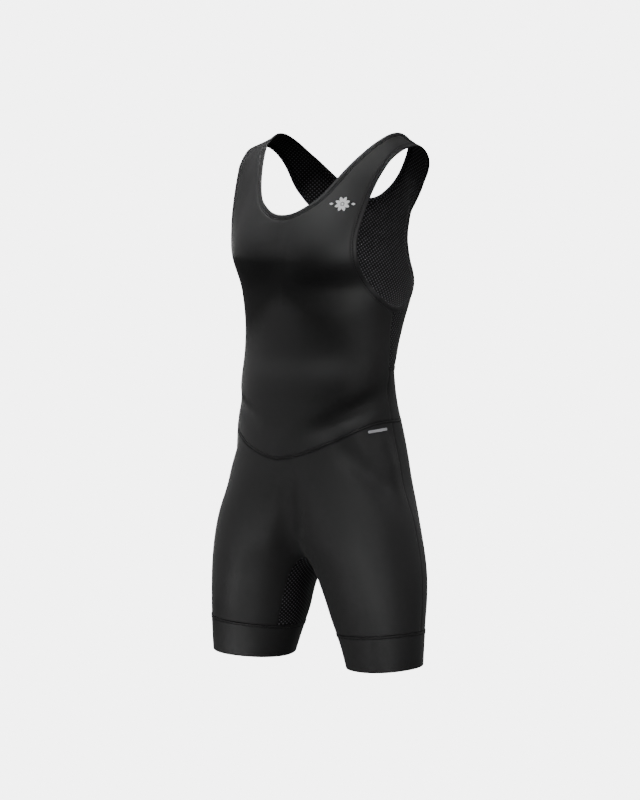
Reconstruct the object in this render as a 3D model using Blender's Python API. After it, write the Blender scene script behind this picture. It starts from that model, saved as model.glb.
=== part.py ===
"""Wrestling singlet as it hangs on a wearer: hollow, with nobody inside.

Metres, +Z up. The wearer faces -Y and the wearer's left side is +X. The origin
lies midway between the tops of the two shoulder straps, where a wearer holds it
up. Sizes below are in millimetres. One rounded form stands for the worn shape; every sewn piece is
a wall laid on it between seam curves, so that neighbours meet along a seam.
"""
import bpy
import numpy as np

MM = 0.001

# Middle of the strap tops in the layout below; it becomes the origin.
HELD_AT = (0.0, 45.0, 2.0)

# Wall thickness of each cloth, and the space left at a seam.
JERSEY = 1.4
NET = 1.2
FOLDED = 2.6
DOUBLED = 2.2
SEAM_GAP = 0.3
BINDING_WIDTH = 8.0

# The worn form by height: half width, sideways offset of each leg, middle
# (front to back), depth in front and behind it, and turn of the leg in degrees.
RING_COLUMNS = ("z", "half_width", "leg", "middle", "front", "back", "turn")
RINGS = (
    (60, 290, 0, 5, 114, 132, 0),
    (-20, 250, 0, 5, 114, 132, 0),
    (-90, 190, 0, 5, 110, 127, 0),
    (-150, 162, 0, 7, 114, 125, 0),
    (-200, 150, 0, 10, 112, 126, 0),
    (-250, 141, 0, 12, 105, 122, 0),
    (-300, 134, 0, 7, 95, 106, 0),
    (-345, 131, 0, 0, 91, 96, 0),
    (-385, 132, 0, -4, 95, 91, 0),
    (-425, 136, 3, -3, 96, 93, 0),
    (-465, 142, 10, 0, 97, 98, 0),
    (-510, 150, 26, 0, 97, 102, 0),
    (-550, 157, 45, -1, 97, 104, 3),
    (-605, 177, 68, -4, 90, 98, 9),
    (-645, 187, 87, -4, 87, 93, 14),
    (-682, 194, 104, -4, 81, 86, 18),
    (-722, 198, 115, -4, 75, 78, 20),
    (-760, 200, 121, -4, 67, 70, 22),
    (-800, 201, 129, -4, 59, 61, 22),
    (-860, 199, 138, -5, 51, 53, 22),
)
ROUNDNESS = 2.2
LEG_BLEND = 7.0

# Shoulders: the form closes over them as a dome that slopes outwards.
DOME_FOOT = -200.0
DOME_FULLNESS = 1.25
RIDGE_TOP = 2.0
RIDGE_X = 121.0
RIDGE_SOFT = 35.0
RIDGE_SLOPE = 0.54
RIDGE_Y = 45.0
RIDGE_FORWARD = 0.1
SHOULDER_X = 100.0
SHOULDER_SPAN = 60.0
SHOULDER_WIDEN = 0.3

# Chest fullness on each side.
CHEST_X, CHEST_Z = 88.0, -172.0
CHEST_WIDE, CHEST_TALL = 52.0, 50.0
CHEST_OUT = 0.075

# Edge of the neck opening, front centre over the shoulder to back centre.
NECK_COLUMNS = ("x", "y", "z")
NECK_FRONT = (
    (0, -90, -127), (24, -88, -123), (39, -83, -115), (52, -76, -106), (64, -66, -92),
    (74, -54, -76), (84, -40, -58), (94, -24, -41), (103, -8, -27), (113, 12, -11),
)
NECK_SHOULDER = (118, 45, -1)
NECK_BACK = (
    (115, 74, -10), (103, 90, -27), (88, 101, -43), (74, 109, -58), (58, 116, -73),
    (34, 121, -90), (14, 124, -100), (0, 125, -103),
)

# Edge of the left armhole, shoulder down the front and up the back.
ARM_COLUMNS = ("x", "y", "z")
ARM_SHOULDER = (157, 46, -19)
ARM_FRONT = (
    (156, 14, -27), (151, -10, -42), (148, -24, -58), (143, -37, -80), (138, -49, -106),
    (133, -58, -133), (128, -64, -163), (126, -63, -185), (127, -56, -206),
    (131, -39, -230), (136, -14, -254),
)
UNDERARM = (138, 14, -269)
ARM_BACK = (
    (136, 46, -266), (129, 74, -250), (116, 94, -232), (101, 107, -216), (88, 116, -198),
    (82, 119, -175), (85, 117, -152), (98, 111, -130), (117, 103, -108), (132, 98, -88),
    (142, 93, -67), (151, 84, -45), (156, 66, -27),
)

# Side seam from the leg band up to the underarm: its front-to-back place.
SIDE_COLUMNS = ("z", "y")
SIDE_SEAM = (
    (-790, 2), (-720, 10), (-660, 17), (-600, 19), (-520, 15), (-447, 7),
    (-366, 8), (-320, 11), (-277, 14),
)

# Waist seam: height at the sides and how far it dips at the centre.
WAIST_Z = -447.0
WAIST_DIP_FRONT = 58.0
WAIST_DIP_BACK = 12.0
WAIST_CURVE = 1.6
NET_SEAM_Z = -366.0
NET_SEAM_DIP = 6.0

# Edges of the crotch gusset, from its tip on the centre line down one leg.
GUSSET_COLUMNS = ("x", "y", "z")
GUSSET_FRONT = ((0, -36, -669), (25, -40, -690), (40, -39, -721), (59, -34, -780))
GUSSET_BACK = ((0, 30, -672), (24, 34, -694), (39, 33, -724), (58, 27, -783))

# Leg band seam and hem: height on the leg's axis, rise outwards and backwards.
BAND_TOP = (-779.0, 0.085, 0.0)
HEM = (-831.0, 0.06, 0.05)

# Soft folds: two ends on the form, half width and depth (below zero is a hollow).
FOLD_COLUMNS = ("x1", "y1", "z1", "x2", "y2", "z2", "half_width", "depth")
FOLDS = (
    (0, -100, -228, 70, -95, -262, 34, -3.0),
    (120, -55, -392, 45, -98, -446, 12, -2.5),
    (100, -70, -492, 150, -50, -590, 13, -3.0),
    (30, -98, -540, 10, -80, -640, 16, -3.0),
    (150, -20, -545, 176, -40, -625, 12, 2.0),
    (60, 95, -330, 125, 45, -372, 14, -2.5),
    (20, 100, -560, 12, 85, -640, 15, -4.0),
    (90, 85, -600, 150, 60, -640, 14, -2.5),
    (45, 118, -262, 100, 90, -300, 18, -3.0),
    (112, 106, -118, 130, 98, -84, 30, -6.0),
)

# How finely the pieces are cut into rows.
ACROSS = 10
WAIST_ROWS = 5
SIDE_ROWS = 5
ARM_ROWS = 22
CENTRE_EXTRA = 5
NECK_ROWS = ARM_ROWS - CENTRE_EXTRA
NET_CENTRE_ROWS = SIDE_ROWS + 12
LEG_ROWS = 8
HIP_ROWS = 6
GUSSET_ACROSS = 8
BAND_ROWS = 3
EVENING = 60
ALONG_ROWS = 0.42


# ---------------------------------------------------------------- the worn form
def ring_sizes(z):
    """Columns of RINGS at any height, eased smoothly from row to row."""
    table = np.array(RINGS, float)
    heights, sizes = table[:, 0], table[:, 1:]
    slopes = np.gradient(sizes, heights, axis=0)
    z = np.clip(z, heights[-1], heights[0])
    row = np.clip(np.searchsorted(-heights, -z, side="right") - 1, 0, len(heights) - 2)
    step = (heights[row + 1] - heights[row])[..., None]
    t = (z - heights[row])[..., None] / step
    value = ((2 * t ** 3 - 3 * t ** 2 + 1) * sizes[row]
             + (t ** 3 - 2 * t ** 2 + t) * slopes[row] * step
             + (3 * t ** 2 - 2 * t ** 3) * sizes[row + 1]
             + (t ** 3 - t ** 2) * slopes[row + 1] * step)
    return np.moveaxis(value, -1, 0)


def dome(z, x, middle):
    """How far up the shoulder dome a point is, and the middle leaning to the ridge."""
    x = np.sqrt(x * x + RIDGE_SOFT ** 2)
    top = RIDGE_TOP - RIDGE_SLOPE * (x - RIDGE_X)
    rise = np.maximum((z - DOME_FOOT) / (top - DOME_FOOT), 0)
    ridge = RIDGE_Y - RIDGE_FORWARD * (x - RIDGE_X)
    return rise, middle + np.minimum(rise, 1.3) ** 1.5 * (ridge - middle)


def form(p):
    """1 on the worn form, less inside it and more outside."""
    x, y, z = np.abs(p[..., 0]), p[..., 1], p[..., 2]
    side, leg, middle, front, back, turn = ring_sizes(z)
    leg = np.maximum(leg, 0)
    rise, middle = dome(z, x, middle)
    bump = sum(np.exp(-((x - c) / CHEST_WIDE) ** 2) for c in (CHEST_X, -CHEST_X))
    front = front * (1 + CHEST_OUT * bump * np.exp(-((z - CHEST_Z) / CHEST_TALL) ** 2))
    outer = np.clip((x - SHOULDER_X) / SHOULDER_SPAN, 0, 1)
    widen = 1 + SHOULDER_WIDEN * np.minimum(rise, 1) * outer
    cos, sin = np.cos(np.radians(turn)), np.sin(np.radians(turn))
    radius = side - leg

    def reach(across):
        u = (across - leg) * cos - (y - middle) * sin
        v = (across - leg) * sin + (y - middle) * cos
        depth = np.where(v < 0, front, back) * widen
        return ((np.abs(u / radius) ** ROUNDNESS
                 + np.abs(v / depth) ** ROUNDNESS) ** (1 / ROUNDNESS))

    near, far = np.maximum(reach(x), 1e-6), np.maximum(reach(-x), 1e-6)
    both = (near ** -LEG_BLEND + far ** -LEG_BLEND) ** (-1 / LEG_BLEND)
    edge = (1 + ((side + leg) / radius) ** -LEG_BLEND) ** (-1 / LEG_BLEND)
    body = (both / edge) ** ROUNDNESS
    cover = np.where(rise < 1, rise ** 2 * (1 + DOME_FULLNESS * (1 - rise)),
                     1 + (2 - DOME_FULLNESS) * (rise - 1))
    free = 1 - np.minimum(x / side, 1) ** ROUNDNESS
    return (body + free * cover) ** (1 / ROUNDNESS)


def gradient(p, step=0.05):
    """Rate of change of the form in x, y and z."""
    shifts = np.eye(3) * step
    return np.stack([(form(p + s) - form(p - s)) / (2 * step) for s in shifts], -1)


def on_form(p, rounds=24):
    """Moves points along the gradient until they lie on the form."""
    p = np.array(p, float)
    for _ in range(rounds):
        g = gradient(p)
        move = ((form(p) - 1) / np.maximum((g * g).sum(-1), 1e-9))[..., None] * g
        size = np.linalg.norm(move, axis=-1, keepdims=True)
        p = p - move * np.minimum(1, 25 / np.maximum(size, 1e-9))
    return p


def outward(p):
    """Unit normals of the form."""
    g = gradient(p)
    return g / np.linalg.norm(g, axis=-1, keepdims=True)


def fold_height(p):
    """How far the folds lift or sink the cloth at each point, same on both sides."""
    total = np.zeros(p.shape[:-1])
    for x1, y1, z1, x2, y2, z2, half_width, depth in FOLDS:
        for hand in (1.0, -1.0):
            start, end = np.array([hand * x1, y1, z1]), np.array([hand * x2, y2, z2])
            line = end - start
            t = np.clip((p - start) @ line / (line @ line), 0, 1)
            away = np.linalg.norm(p - start - t[..., None] * line, axis=-1)
            total += depth * np.exp(-(away / half_width) ** 2)
    return total


# --------------------------------------------------------------------- curves
def lengths(points):
    """Distance along a line of points, starting at 0."""
    return np.concatenate([[0], np.cumsum(np.linalg.norm(np.diff(points, axis=0), axis=1))])


def smooth(rows, fine=24):
    """A smooth line through rows of points, `fine` steps between two rows."""
    rows = np.array(rows, float)
    at = lengths(rows)
    slope = np.gradient(rows, at, axis=0)
    t = np.linspace(0, 1, fine, endpoint=False)[:, None]
    parts = []
    for k in range(len(rows) - 1):
        step = at[k + 1] - at[k]
        parts.append((2 * t ** 3 - 3 * t ** 2 + 1) * rows[k]
                     + (t ** 3 - 2 * t ** 2 + t) * slope[k] * step
                     + (3 * t ** 2 - 2 * t ** 3) * rows[k + 1]
                     + (t ** 3 - t ** 2) * slope[k + 1] * step)
    return np.concatenate(parts + [rows[-1:]])


def even(points, count):
    """The same line cut into `count` equal steps."""
    at = lengths(points)
    want = np.linspace(0, at[-1], count + 1)
    return np.stack([np.interp(want, at, points[:, k]) for k in range(3)], -1)


def mirrored(points):
    """The same points on the other side of the body."""
    return points * np.array([-1.0, 1.0, 1.0])


def tangents(points, start=None, end=None):
    """Unit directions along a line; start and end give the points beyond its ends."""
    start = 2 * points[:1] - points[1:2] if start is None else start
    end = 2 * points[-1:] - points[-2:-1] if end is None else end
    line = np.concatenate([start, points, end])
    along = line[2:] - line[:-2]
    return along / np.linalg.norm(along, axis=-1, keepdims=True)


def sideways(points, distance, start=None, end=None):
    """Shift of a line along the form, to the left of its direction seen from outside."""
    return distance * np.cross(outward(points), tangents(points, start, end))


def round_torso(first, last, count, height):
    """Seam round the torso from one angle to another; height gives z at each x/half width."""
    angle = np.linspace(first, last, 161)
    z = np.full(angle.shape, height(0.0))
    for _ in range(4):
        side, _, middle = ring_sizes(z)[:3]
        start = np.stack([0 * z, middle, z], -1)
        aim = np.stack([np.sin(angle), -np.cos(angle), 0 * z], -1)
        points = shoot(start, aim)
        z = height(np.clip(points[:, 0] / side, 0, 1))
    return even(points, count)


def shoot(start, aim, reach=320.0):
    """Where rays from inside the form leave it."""
    low, high = np.zeros(len(aim)), np.full(len(aim), reach)
    for _ in range(42):
        middle = (low + high) / 2
        inside = form(start + aim * middle[:, None]) < 1
        low, high = np.where(inside, middle, low), np.where(inside, high, middle)
    return start + aim * low[:, None]


def leg_ring(plane, angles):
    """Points round the left leg where a tilted plane cuts the form."""
    height, rise_out, rise_back = plane
    _, leg, middle = ring_sizes(np.array([height]))[:3]
    start = np.array([leg[0], middle[0], height])
    aim = np.stack([np.cos(angles), np.sin(angles),
                    rise_out * np.cos(angles) + rise_back * np.sin(angles)], -1)
    return shoot(start + 0 * aim, aim)


def leg_angle(point):
    """Angle of a point round the axis of the left leg."""
    _, leg, middle = ring_sizes(np.array([point[2]]))[:3]
    return np.arctan2(point[1] - middle[0], point[0] - leg[0])


# --------------------------------------------------------------------- patches
def patch(left, right, bottom, top):
    """Grid between four lines: rows run from left to right, the first is the bottom."""
    rows, columns = len(left), len(bottom)
    v = np.linspace(0, 1, rows)[:, None, None]
    u = np.linspace(0, 1, columns)[None, :, None]
    corners = ((1 - u) * (1 - v) * left[0] + u * (1 - v) * right[0]
               + (1 - u) * v * left[-1] + u * v * right[-1])
    grid = ((1 - u) * left[:, None] + u * right[:, None]
            + (1 - v) * bottom[None] + v * top[None] - corners)
    for _ in range(EVENING):
        grid = on_form(grid, 3)
        grid[:, 0], grid[:, -1], grid[0], grid[-1] = left, right, bottom, top
        grid[1:-1, 1:-1] = (ALONG_ROWS * (grid[1:-1, :-2] + grid[1:-1, 2:])
                            + (0.5 - ALONG_ROWS) * (grid[:-2, 1:-1] + grid[2:, 1:-1]))
    grid[1:-1, 1:-1] = on_form(grid[1:-1, 1:-1])
    return grid


def trimmed(lines, shifts):
    """Four lines of a patch, each moved by its shift, with corners moved by both."""
    left, right, bottom, top = [line.copy() for line in lines]
    d_left, d_right, d_bottom, d_top = [0 * line if shift is None else shift
                                        for line, shift in zip(lines, shifts)]
    new_left, new_right = left + d_left, right + d_right
    new_bottom, new_top = bottom + d_bottom, top + d_top
    new_left[0] += d_bottom[0]
    new_left[-1] += d_top[0]
    new_right[0] += d_bottom[-1]
    new_right[-1] += d_top[-1]
    new_bottom[0], new_bottom[-1] = new_left[0], new_right[0]
    new_top[0], new_top[-1] = new_left[-1], new_right[-1]
    return new_left, new_right, new_bottom, new_top


def quads(rows, columns, ring=False):
    """Vertex numbers of the faces of a grid, wound to face away from the form."""
    index = np.arange(rows * columns).reshape(rows, columns)
    if ring:
        index = np.concatenate([index, index[:, :1]], 1)
    return np.stack([index[:-1, :-1], index[:-1, 1:], index[1:, 1:], index[1:, :-1]],
                    -1).reshape(-1, 4)


def welded(points, faces):
    """Merges points that lie in the same place."""
    key = np.round(points, 4) + 0.0
    _, first, number = np.unique(key, axis=0, return_index=True, return_inverse=True)
    return points[first], number.reshape(-1)[faces]


def both_halves(grid):
    """A half piece and its mirror image, joined on the centre line."""
    rows, columns = grid.shape[:2]
    points = grid.reshape(-1, 3)
    points = np.where(np.abs(points) < 1e-3, 0, points)
    faces = quads(rows, columns)
    mirror = np.concatenate([points, mirrored(points)])
    return welded(mirror, np.concatenate([faces, faces[:, ::-1] + len(points)]))


def split(points, faces):
    """Cuts each quad into two triangles along its shorter diagonal."""
    a, b, c, d = faces.T
    short = (np.linalg.norm(points[a] - points[c], axis=1)
             <= np.linalg.norm(points[b] - points[d], axis=1))
    first = np.where(short, np.stack([a, b, c]), np.stack([a, b, d]))
    second = np.where(short, np.stack([a, c, d]), np.stack([b, c, d]))
    return np.concatenate([first.T, second.T])


def wall(points, faces, thickness):
    """Closes a sheet into a wall: outer side, inner side and the rims between them."""
    normal = outward(points)
    faces = split(points, faces)
    corner = points[faces]
    across = np.cross(corner[:, 1] - corner[:, 0], corner[:, 2] - corner[:, 0])
    turned = (across * outward(corner.mean(1))).sum() < 0
    faces = faces[:, ::-1] if turned else faces
    lift = fold_height(points)[:, None] * normal
    outer = points + lift + normal * thickness / 2
    inner = points + lift - normal * thickness / 2
    count = len(points)
    edges = np.concatenate([faces[:, [k, (k + 1) % 3]] for k in range(3)])
    key = np.sort(edges, axis=1)
    _, first, uses = np.unique(key, axis=0, return_index=True, return_counts=True)
    free = edges[first[uses == 1]]
    rims = np.stack([free[:, 1], free[:, 0], free[:, 0] + count, free[:, 1] + count], -1)
    return (np.concatenate([outer, inner]),
            faces.tolist() + (faces[:, ::-1] + count).tolist() + rims.tolist())


# ------------------------------------------------------------------- the seams
def seams():
    """Every seam and edge of the left half, as lines of points on the form."""
    s = {}
    neck = smooth((mirrored(np.array(NECK_FRONT[1], float)),) + NECK_FRONT
                  + (NECK_SHOULDER,) + NECK_BACK
                  + (mirrored(np.array(NECK_BACK[-2], float)),))
    top = (len(NECK_FRONT) + 1) * 24
    last = (len(NECK_FRONT) + len(NECK_BACK) + 1) * 24
    s["neck_front"] = on_form(even(neck[24:top + 1], NECK_ROWS))
    s["neck_back"] = on_form(even(neck[top:last + 1], ARM_ROWS + SIDE_ROWS - NET_CENTRE_ROWS))
    loop = (ARM_SHOULDER,) + ARM_FRONT + (UNDERARM,) + ARM_BACK
    arm = smooth(loop[-1:] + loop + loop[:2])
    under = (len(ARM_FRONT) + 2) * 24
    end = (len(loop) + 1) * 24
    s["arm_front"] = on_form(even(arm[24:under + 1], ARM_ROWS))
    s["arm_back"] = on_form(even(arm[under:end + 1], ARM_ROWS))
    side = np.array(SIDE_SEAM, float)
    z = np.linspace(side[0, 0], side[-1, 0], 240)
    y = np.interp(z, side[:, 0], side[:, 1])
    y = np.convolve(np.pad(y, 12, mode="edge"), np.ones(25) / 25, "valid")
    s["side"] = on_form(np.stack([ring_sizes(z)[0], y, z], -1))
    return s


def cut(line, low, high, count):
    """Part of a line between two heights, in equal steps."""
    at = lengths(line)
    ends = np.interp([low, high], line[:, 2], at)
    want = np.linspace(ends[0], ends[1], count + 1)
    return on_form(np.stack([np.interp(want, at, line[:, k]) for k in range(3)], -1))


def down_centre(sign, high, low, count):
    """Centre line of the front (-1) or back (1) between two heights, in equal steps."""
    z = np.linspace(high, low, 60)
    middle = ring_sizes(z)[2]
    start = np.stack([0 * z, middle, z], -1)
    aim = np.stack([0 * z, sign + 0 * z, 0 * z], -1)
    return even(shoot(start, aim), count)


def front_dip(share):
    """Height of the waist seam in front, by share of the half width."""
    return WAIST_Z - WAIST_DIP_FRONT * (1 - share ** WAIST_CURVE)


def back_dip(share):
    """Height of the waist seam behind."""
    return WAIST_Z - WAIST_DIP_BACK * (1 - share ** WAIST_CURVE)


def net_dip(share):
    """Height of the seam below the net behind."""
    return NET_SEAM_Z - NET_SEAM_DIP * (1 - share ** WAIST_CURVE)


def torso_seam(height, corner, behind):
    """Seam from the centre line to a corner on the side seam."""
    middle = ring_sizes(corner[2:3])[2][0]
    angle = np.arctan2(corner[0], middle - corner[1])
    line = round_torso(np.pi if behind else 0.0, angle, ACROSS, height)
    line[0, 0] = 0.0
    line[-1] = corner
    return line


def main_lines():
    """All lines the pieces are cut between, each shared by the pieces that meet there."""
    s = seams()
    half = SEAM_GAP / 2
    neck = np.concatenate([s["neck_front"], s["neck_back"][1:]])
    before, after = mirrored(neck[1:2]), mirrored(neck[-2:-1])
    s["neck"], s["neck_in"] = neck, sideways(neck, -1.0, before, after)
    arm = np.concatenate([s["arm_front"], s["arm_back"][1:]])
    s["arm"] = arm
    s["arm_in"] = sideways(arm, -1.0, arm[-2:-1], arm[1:2])
    inset = BINDING_WIDTH + half
    neck_seam = on_form(neck + s["neck_in"] * inset)
    arm_seam = on_form(arm + s["arm_in"] * inset)
    s["neck_seam_front"] = neck_seam[:NECK_ROWS + 1]
    s["neck_seam_back"] = neck_seam[NECK_ROWS:][::-1]
    s["arm_seam_front"] = arm_seam[:ARM_ROWS + 1][::-1]
    s["arm_seam_back"] = arm_seam[ARM_ROWS:]
    s["underarm"] = arm_seam[ARM_ROWS]
    t = np.linspace(0, 1, ACROSS + 1)[:, None]
    s["shoulder"] = on_form((1 - t) * neck_seam[NECK_ROWS] + t * arm_seam[0])
    s["shoulder"][0], s["shoulder"][-1] = neck_seam[NECK_ROWS], arm_seam[0]
    s["side_waist"] = cut(s["side"], WAIST_Z, NET_SEAM_Z, WAIST_ROWS)
    s["side_net"] = cut(s["side"], NET_SEAM_Z, s["underarm"][2], SIDE_ROWS)
    s["side_net"][-1] = s["underarm"]
    s["waist_front"] = torso_seam(front_dip, s["side_waist"][0], False)
    s["waist_back"] = torso_seam(back_dip, s["side_waist"][0], True)
    s["net"] = torso_seam(net_dip, s["side_waist"][-1], True)
    leg_lines(s)
    return s


def leg_lines(s):
    """Adds the lines of the shorts, gusset and leg bands."""
    for name, rows in (("front", GUSSET_FRONT), ("back", GUSSET_BACK)):
        line = smooth((mirrored(np.array(rows[1], float)),) + rows)[24:]
        line = on_form(even(line, LEG_ROWS))
        angle = leg_angle(line[-1])
        line[-1] = leg_ring(BAND_TOP, np.array([angle]))[0]
        line[0, 0] = 0.0
        s["gusset_" + name] = line
        s["angle_" + name] = angle
    seat = s["side"][np.argmin(np.abs(s["side"][:, 2] - BAND_TOP[0] - 5))]
    s["angle_side"] = leg_angle(seat)
    ends = (("ring_front", s["angle_front"], s["angle_side"], ACROSS),
            ("ring_back", s["angle_side"], s["angle_back"], ACROSS),
            ("ring_gusset", s["angle_back"], s["angle_front"], GUSSET_ACROSS))
    for name, first, last, count in ends:
        last = last + 2 * np.pi if last < first else last
        s[name] = even(leg_ring(BAND_TOP, np.linspace(first, last, 200)), count)
    s["ring_front"][0], s["ring_gusset"][0] = s["gusset_front"][-1], s["gusset_back"][-1]
    s["ring_front"][-1], s["ring_back"][-1] = s["ring_back"][0], s["gusset_back"][-1]
    s["ring_gusset"][-1] = s["gusset_front"][-1]
    corner = s["ring_front"][-1]
    s["side_leg"] = cut(s["side"], corner[2], WAIST_Z, HIP_ROWS + LEG_ROWS)
    s["side_leg"][0], s["side_leg"][-1] = corner, s["side_waist"][0]
    s["front_centre"] = down_centre(-1, s["waist_front"][0, 2], s["neck_seam_front"][0, 2],
                                    WAIST_ROWS + SIDE_ROWS + CENTRE_EXTRA)
    s["fly"] = down_centre(-1, s["gusset_front"][0, 2], s["waist_front"][0, 2], HIP_ROWS)
    s["seat"] = down_centre(1, s["gusset_back"][0, 2], s["waist_back"][0, 2], HIP_ROWS)


# ------------------------------------------------------------------ the pieces
def toward(line, inside, distance, start=None, end=None):
    """Shift of a line by a distance along the form, to the side where `inside` lies."""
    shift = sideways(line, 1.0, start, end)
    middle = len(line) // 2
    sign = np.sign((shift[middle] * (inside - line[middle])).sum())
    return shift * sign * distance


def piece(lines, shifts):
    """Half piece between four lines, moved off its seams."""
    return patch(*trimmed(lines, shifts))


def front_half(s):
    """Left half of the front: centre line and neck against side seam and armhole."""
    half = SEAM_GAP / 2
    left = np.concatenate([s["front_centre"], s["neck_seam_front"][1:]])
    left[len(s["front_centre"]) - 1] = s["neck_seam_front"][0]
    side = np.concatenate([s["side_waist"], s["side_net"][1:]])
    right = np.concatenate([side, s["arm_seam_front"][1:]])
    inside = np.array([90.0, -95.0, -330.0])
    d_right = np.zeros(right.shape)
    d_right[:len(side)] = toward(side, inside, half)
    d_bottom = toward(s["waist_front"], np.array([0.0, -100.0, -380.0]), half,
                      mirrored(s["waist_front"][1:2]))
    d_top = toward(s["shoulder"], np.array([140.0, -20.0, -30.0]), half)
    return piece((left, right, s["waist_front"], s["shoulder"]),
                 (None, d_right, d_bottom, d_top))


def net_half(s):
    """Left half of the upper back, from the net seam to the shoulder."""
    half = SEAM_GAP / 2
    centre = down_centre(1, s["net"][0, 2], s["neck_seam_back"][0, 2], NET_CENTRE_ROWS)
    centre[-1] = s["neck_seam_back"][0]
    left = np.concatenate([centre, s["neck_seam_back"][1:]])
    right = np.concatenate([s["side_net"], s["arm_seam_back"][1:]])
    d_right = np.zeros(right.shape)
    d_right[:SIDE_ROWS + 1] = toward(s["side_net"], np.array([90.0, 95.0, -320.0]), half)
    d_bottom = toward(s["net"], np.array([0.0, 100.0, -300.0]), half, mirrored(s["net"][1:2]))
    d_top = toward(s["shoulder"], np.array([140.0, 90.0, -30.0]), half)
    return piece((left, right, s["net"], s["shoulder"]), (None, d_right, d_bottom, d_top))


def back_waist_half(s):
    """Left half of the lower back, between the waist seam and the net."""
    half = SEAM_GAP / 2
    left = down_centre(1, s["waist_back"][0, 2], s["net"][0, 2], WAIST_ROWS)
    d_right = toward(s["side_waist"], np.array([90.0, 95.0, -400.0]), half)
    d_bottom = toward(s["waist_back"], np.array([0.0, 100.0, -400.0]), half,
                      mirrored(s["waist_back"][1:2]))
    d_top = toward(s["net"], np.array([0.0, 100.0, -430.0]), half, mirrored(s["net"][1:2]))
    return piece((left, s["side_waist"], s["waist_back"], s["net"]),
                 (None, d_right, d_bottom, d_top))


def shorts_half(s, name, sign):
    """Left half of the shorts, front (sign -1) or back (sign 1)."""
    half = SEAM_GAP / 2
    inseam = s["gusset_" + name][::-1]
    centre = s["fly"] if sign < 0 else s["seat"]
    left = np.concatenate([inseam, centre[1:]])
    d_left = np.zeros(left.shape)
    d_left[:len(inseam)] = toward(inseam, np.array([90.0, sign * 100.0, -700.0]), half,
                                  end=mirrored(inseam[-2:-1]))
    bottom = s["ring_front"] if sign < 0 else s["ring_back"][::-1]
    top = s["waist_" + name]
    d_bottom = toward(bottom, np.array([130.0, sign * 80.0, -600.0]), half)
    d_right = toward(s["side_leg"], np.array([130.0, sign * 100.0, -620.0]), half)
    d_top = toward(top, np.array([0.0, sign * 100.0, -600.0]), half, mirrored(top[1:2]))
    return piece((left, s["side_leg"], bottom, top), (d_left, d_right, d_bottom, d_top))


def gusset_half(s):
    """Left half of the gusset, from the centre plane down the inner thigh."""
    half = SEAM_GAP / 2
    front, back = s["gusset_front"], s["gusset_back"]
    tip, tail = front[0], back[0]
    origin = np.array([0.0, (tip[1] + tail[1]) / 2, (tip[2] + tail[2]) / 2 + 20])
    first = np.arctan2(tip[2] - origin[2], tip[1] - origin[1]) + 2 * np.pi
    last = np.arctan2(tail[2] - origin[2], tail[1] - origin[1]) + 2 * np.pi
    angle = np.linspace(first, last, 120)
    aim = np.stack([0 * angle, np.cos(angle), np.sin(angle)], -1)
    crotch = even(shoot(origin + 0 * aim, aim), GUSSET_ACROSS)
    crotch[0], crotch[-1] = tip, tail
    inside = np.array([45.0, -4.0, -740.0])
    d_front = toward(front, inside, half, mirrored(front[1:2]))
    d_back = toward(back, inside, half, mirrored(back[1:2]))
    bottom = s["ring_gusset"][::-1]
    d_bottom = toward(bottom, inside, half)
    return piece((front, back, crotch, bottom), (d_front, d_back, None, d_bottom))


def leg_band(s):
    """The band round the left leg, from its seam down to the hem."""
    ring = np.concatenate([s["ring_front"][:-1], s["ring_back"][:-1], s["ring_gusset"][:-1]])
    angles = np.array([leg_angle(p) for p in ring])
    hem = leg_ring(HEM, angles)
    down = sideways(ring, 1.0, ring[-1:], ring[:1])
    down = down * np.sign((down * (hem - ring)).sum(-1, keepdims=True))
    ring = ring + down * SEAM_GAP / 2
    t = np.linspace(0, 1, BAND_ROWS + 1)[:, None, None]
    grid = on_form((1 - t) * ring + t * hem)
    grid[0] = ring
    return grid.reshape(-1, 3), quads(BAND_ROWS + 1, len(ring), ring=True)


def binding(edge, inward, ring):
    """A strip along an edge: three lines of points from the edge to its seam."""
    width = BINDING_WIDTH - SEAM_GAP / 2
    share = np.array([0.0, 0.5, 1.0])[:, None, None]
    grid = edge + share * inward * width
    grid[1:] = on_form(grid[1:])
    if not ring:
        return both_halves(grid)
    grid = grid[:, :-1]
    return grid.reshape(-1, 3), quads(3, grid.shape[1], ring=True)


# -------------------------------------------------------------------- building
def material(name, grey, roughness, sheen):
    """Plain dyed cloth."""
    made = bpy.data.materials.new(name)
    made.use_nodes = True
    shader = made.node_tree.nodes["Principled BSDF"]
    shader.inputs["Base Color"].default_value = (grey, grey, grey, 1)
    shader.inputs["Roughness"].default_value = roughness
    shader.inputs["Sheen Weight"].default_value = sheen
    made.diffuse_color = (grey, grey, grey, 1)
    return made


def add(name, sheet, thickness, cloth):
    """Adds one sewn piece as a closed wall."""
    points, faces = wall(*sheet, thickness)
    mesh = bpy.data.meshes.new(name)
    mesh.from_pydata(((points - HELD_AT) * MM).tolist(), [], faces)
    mesh.update()
    mesh.materials.append(cloth)
    made = bpy.data.objects.new(name, mesh)
    bpy.context.collection.objects.link(made)
    return made


def other_side(sheet):
    """The mirror image of a sheet."""
    points, faces = sheet
    return mirrored(points), faces[:, ::-1]


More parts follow.
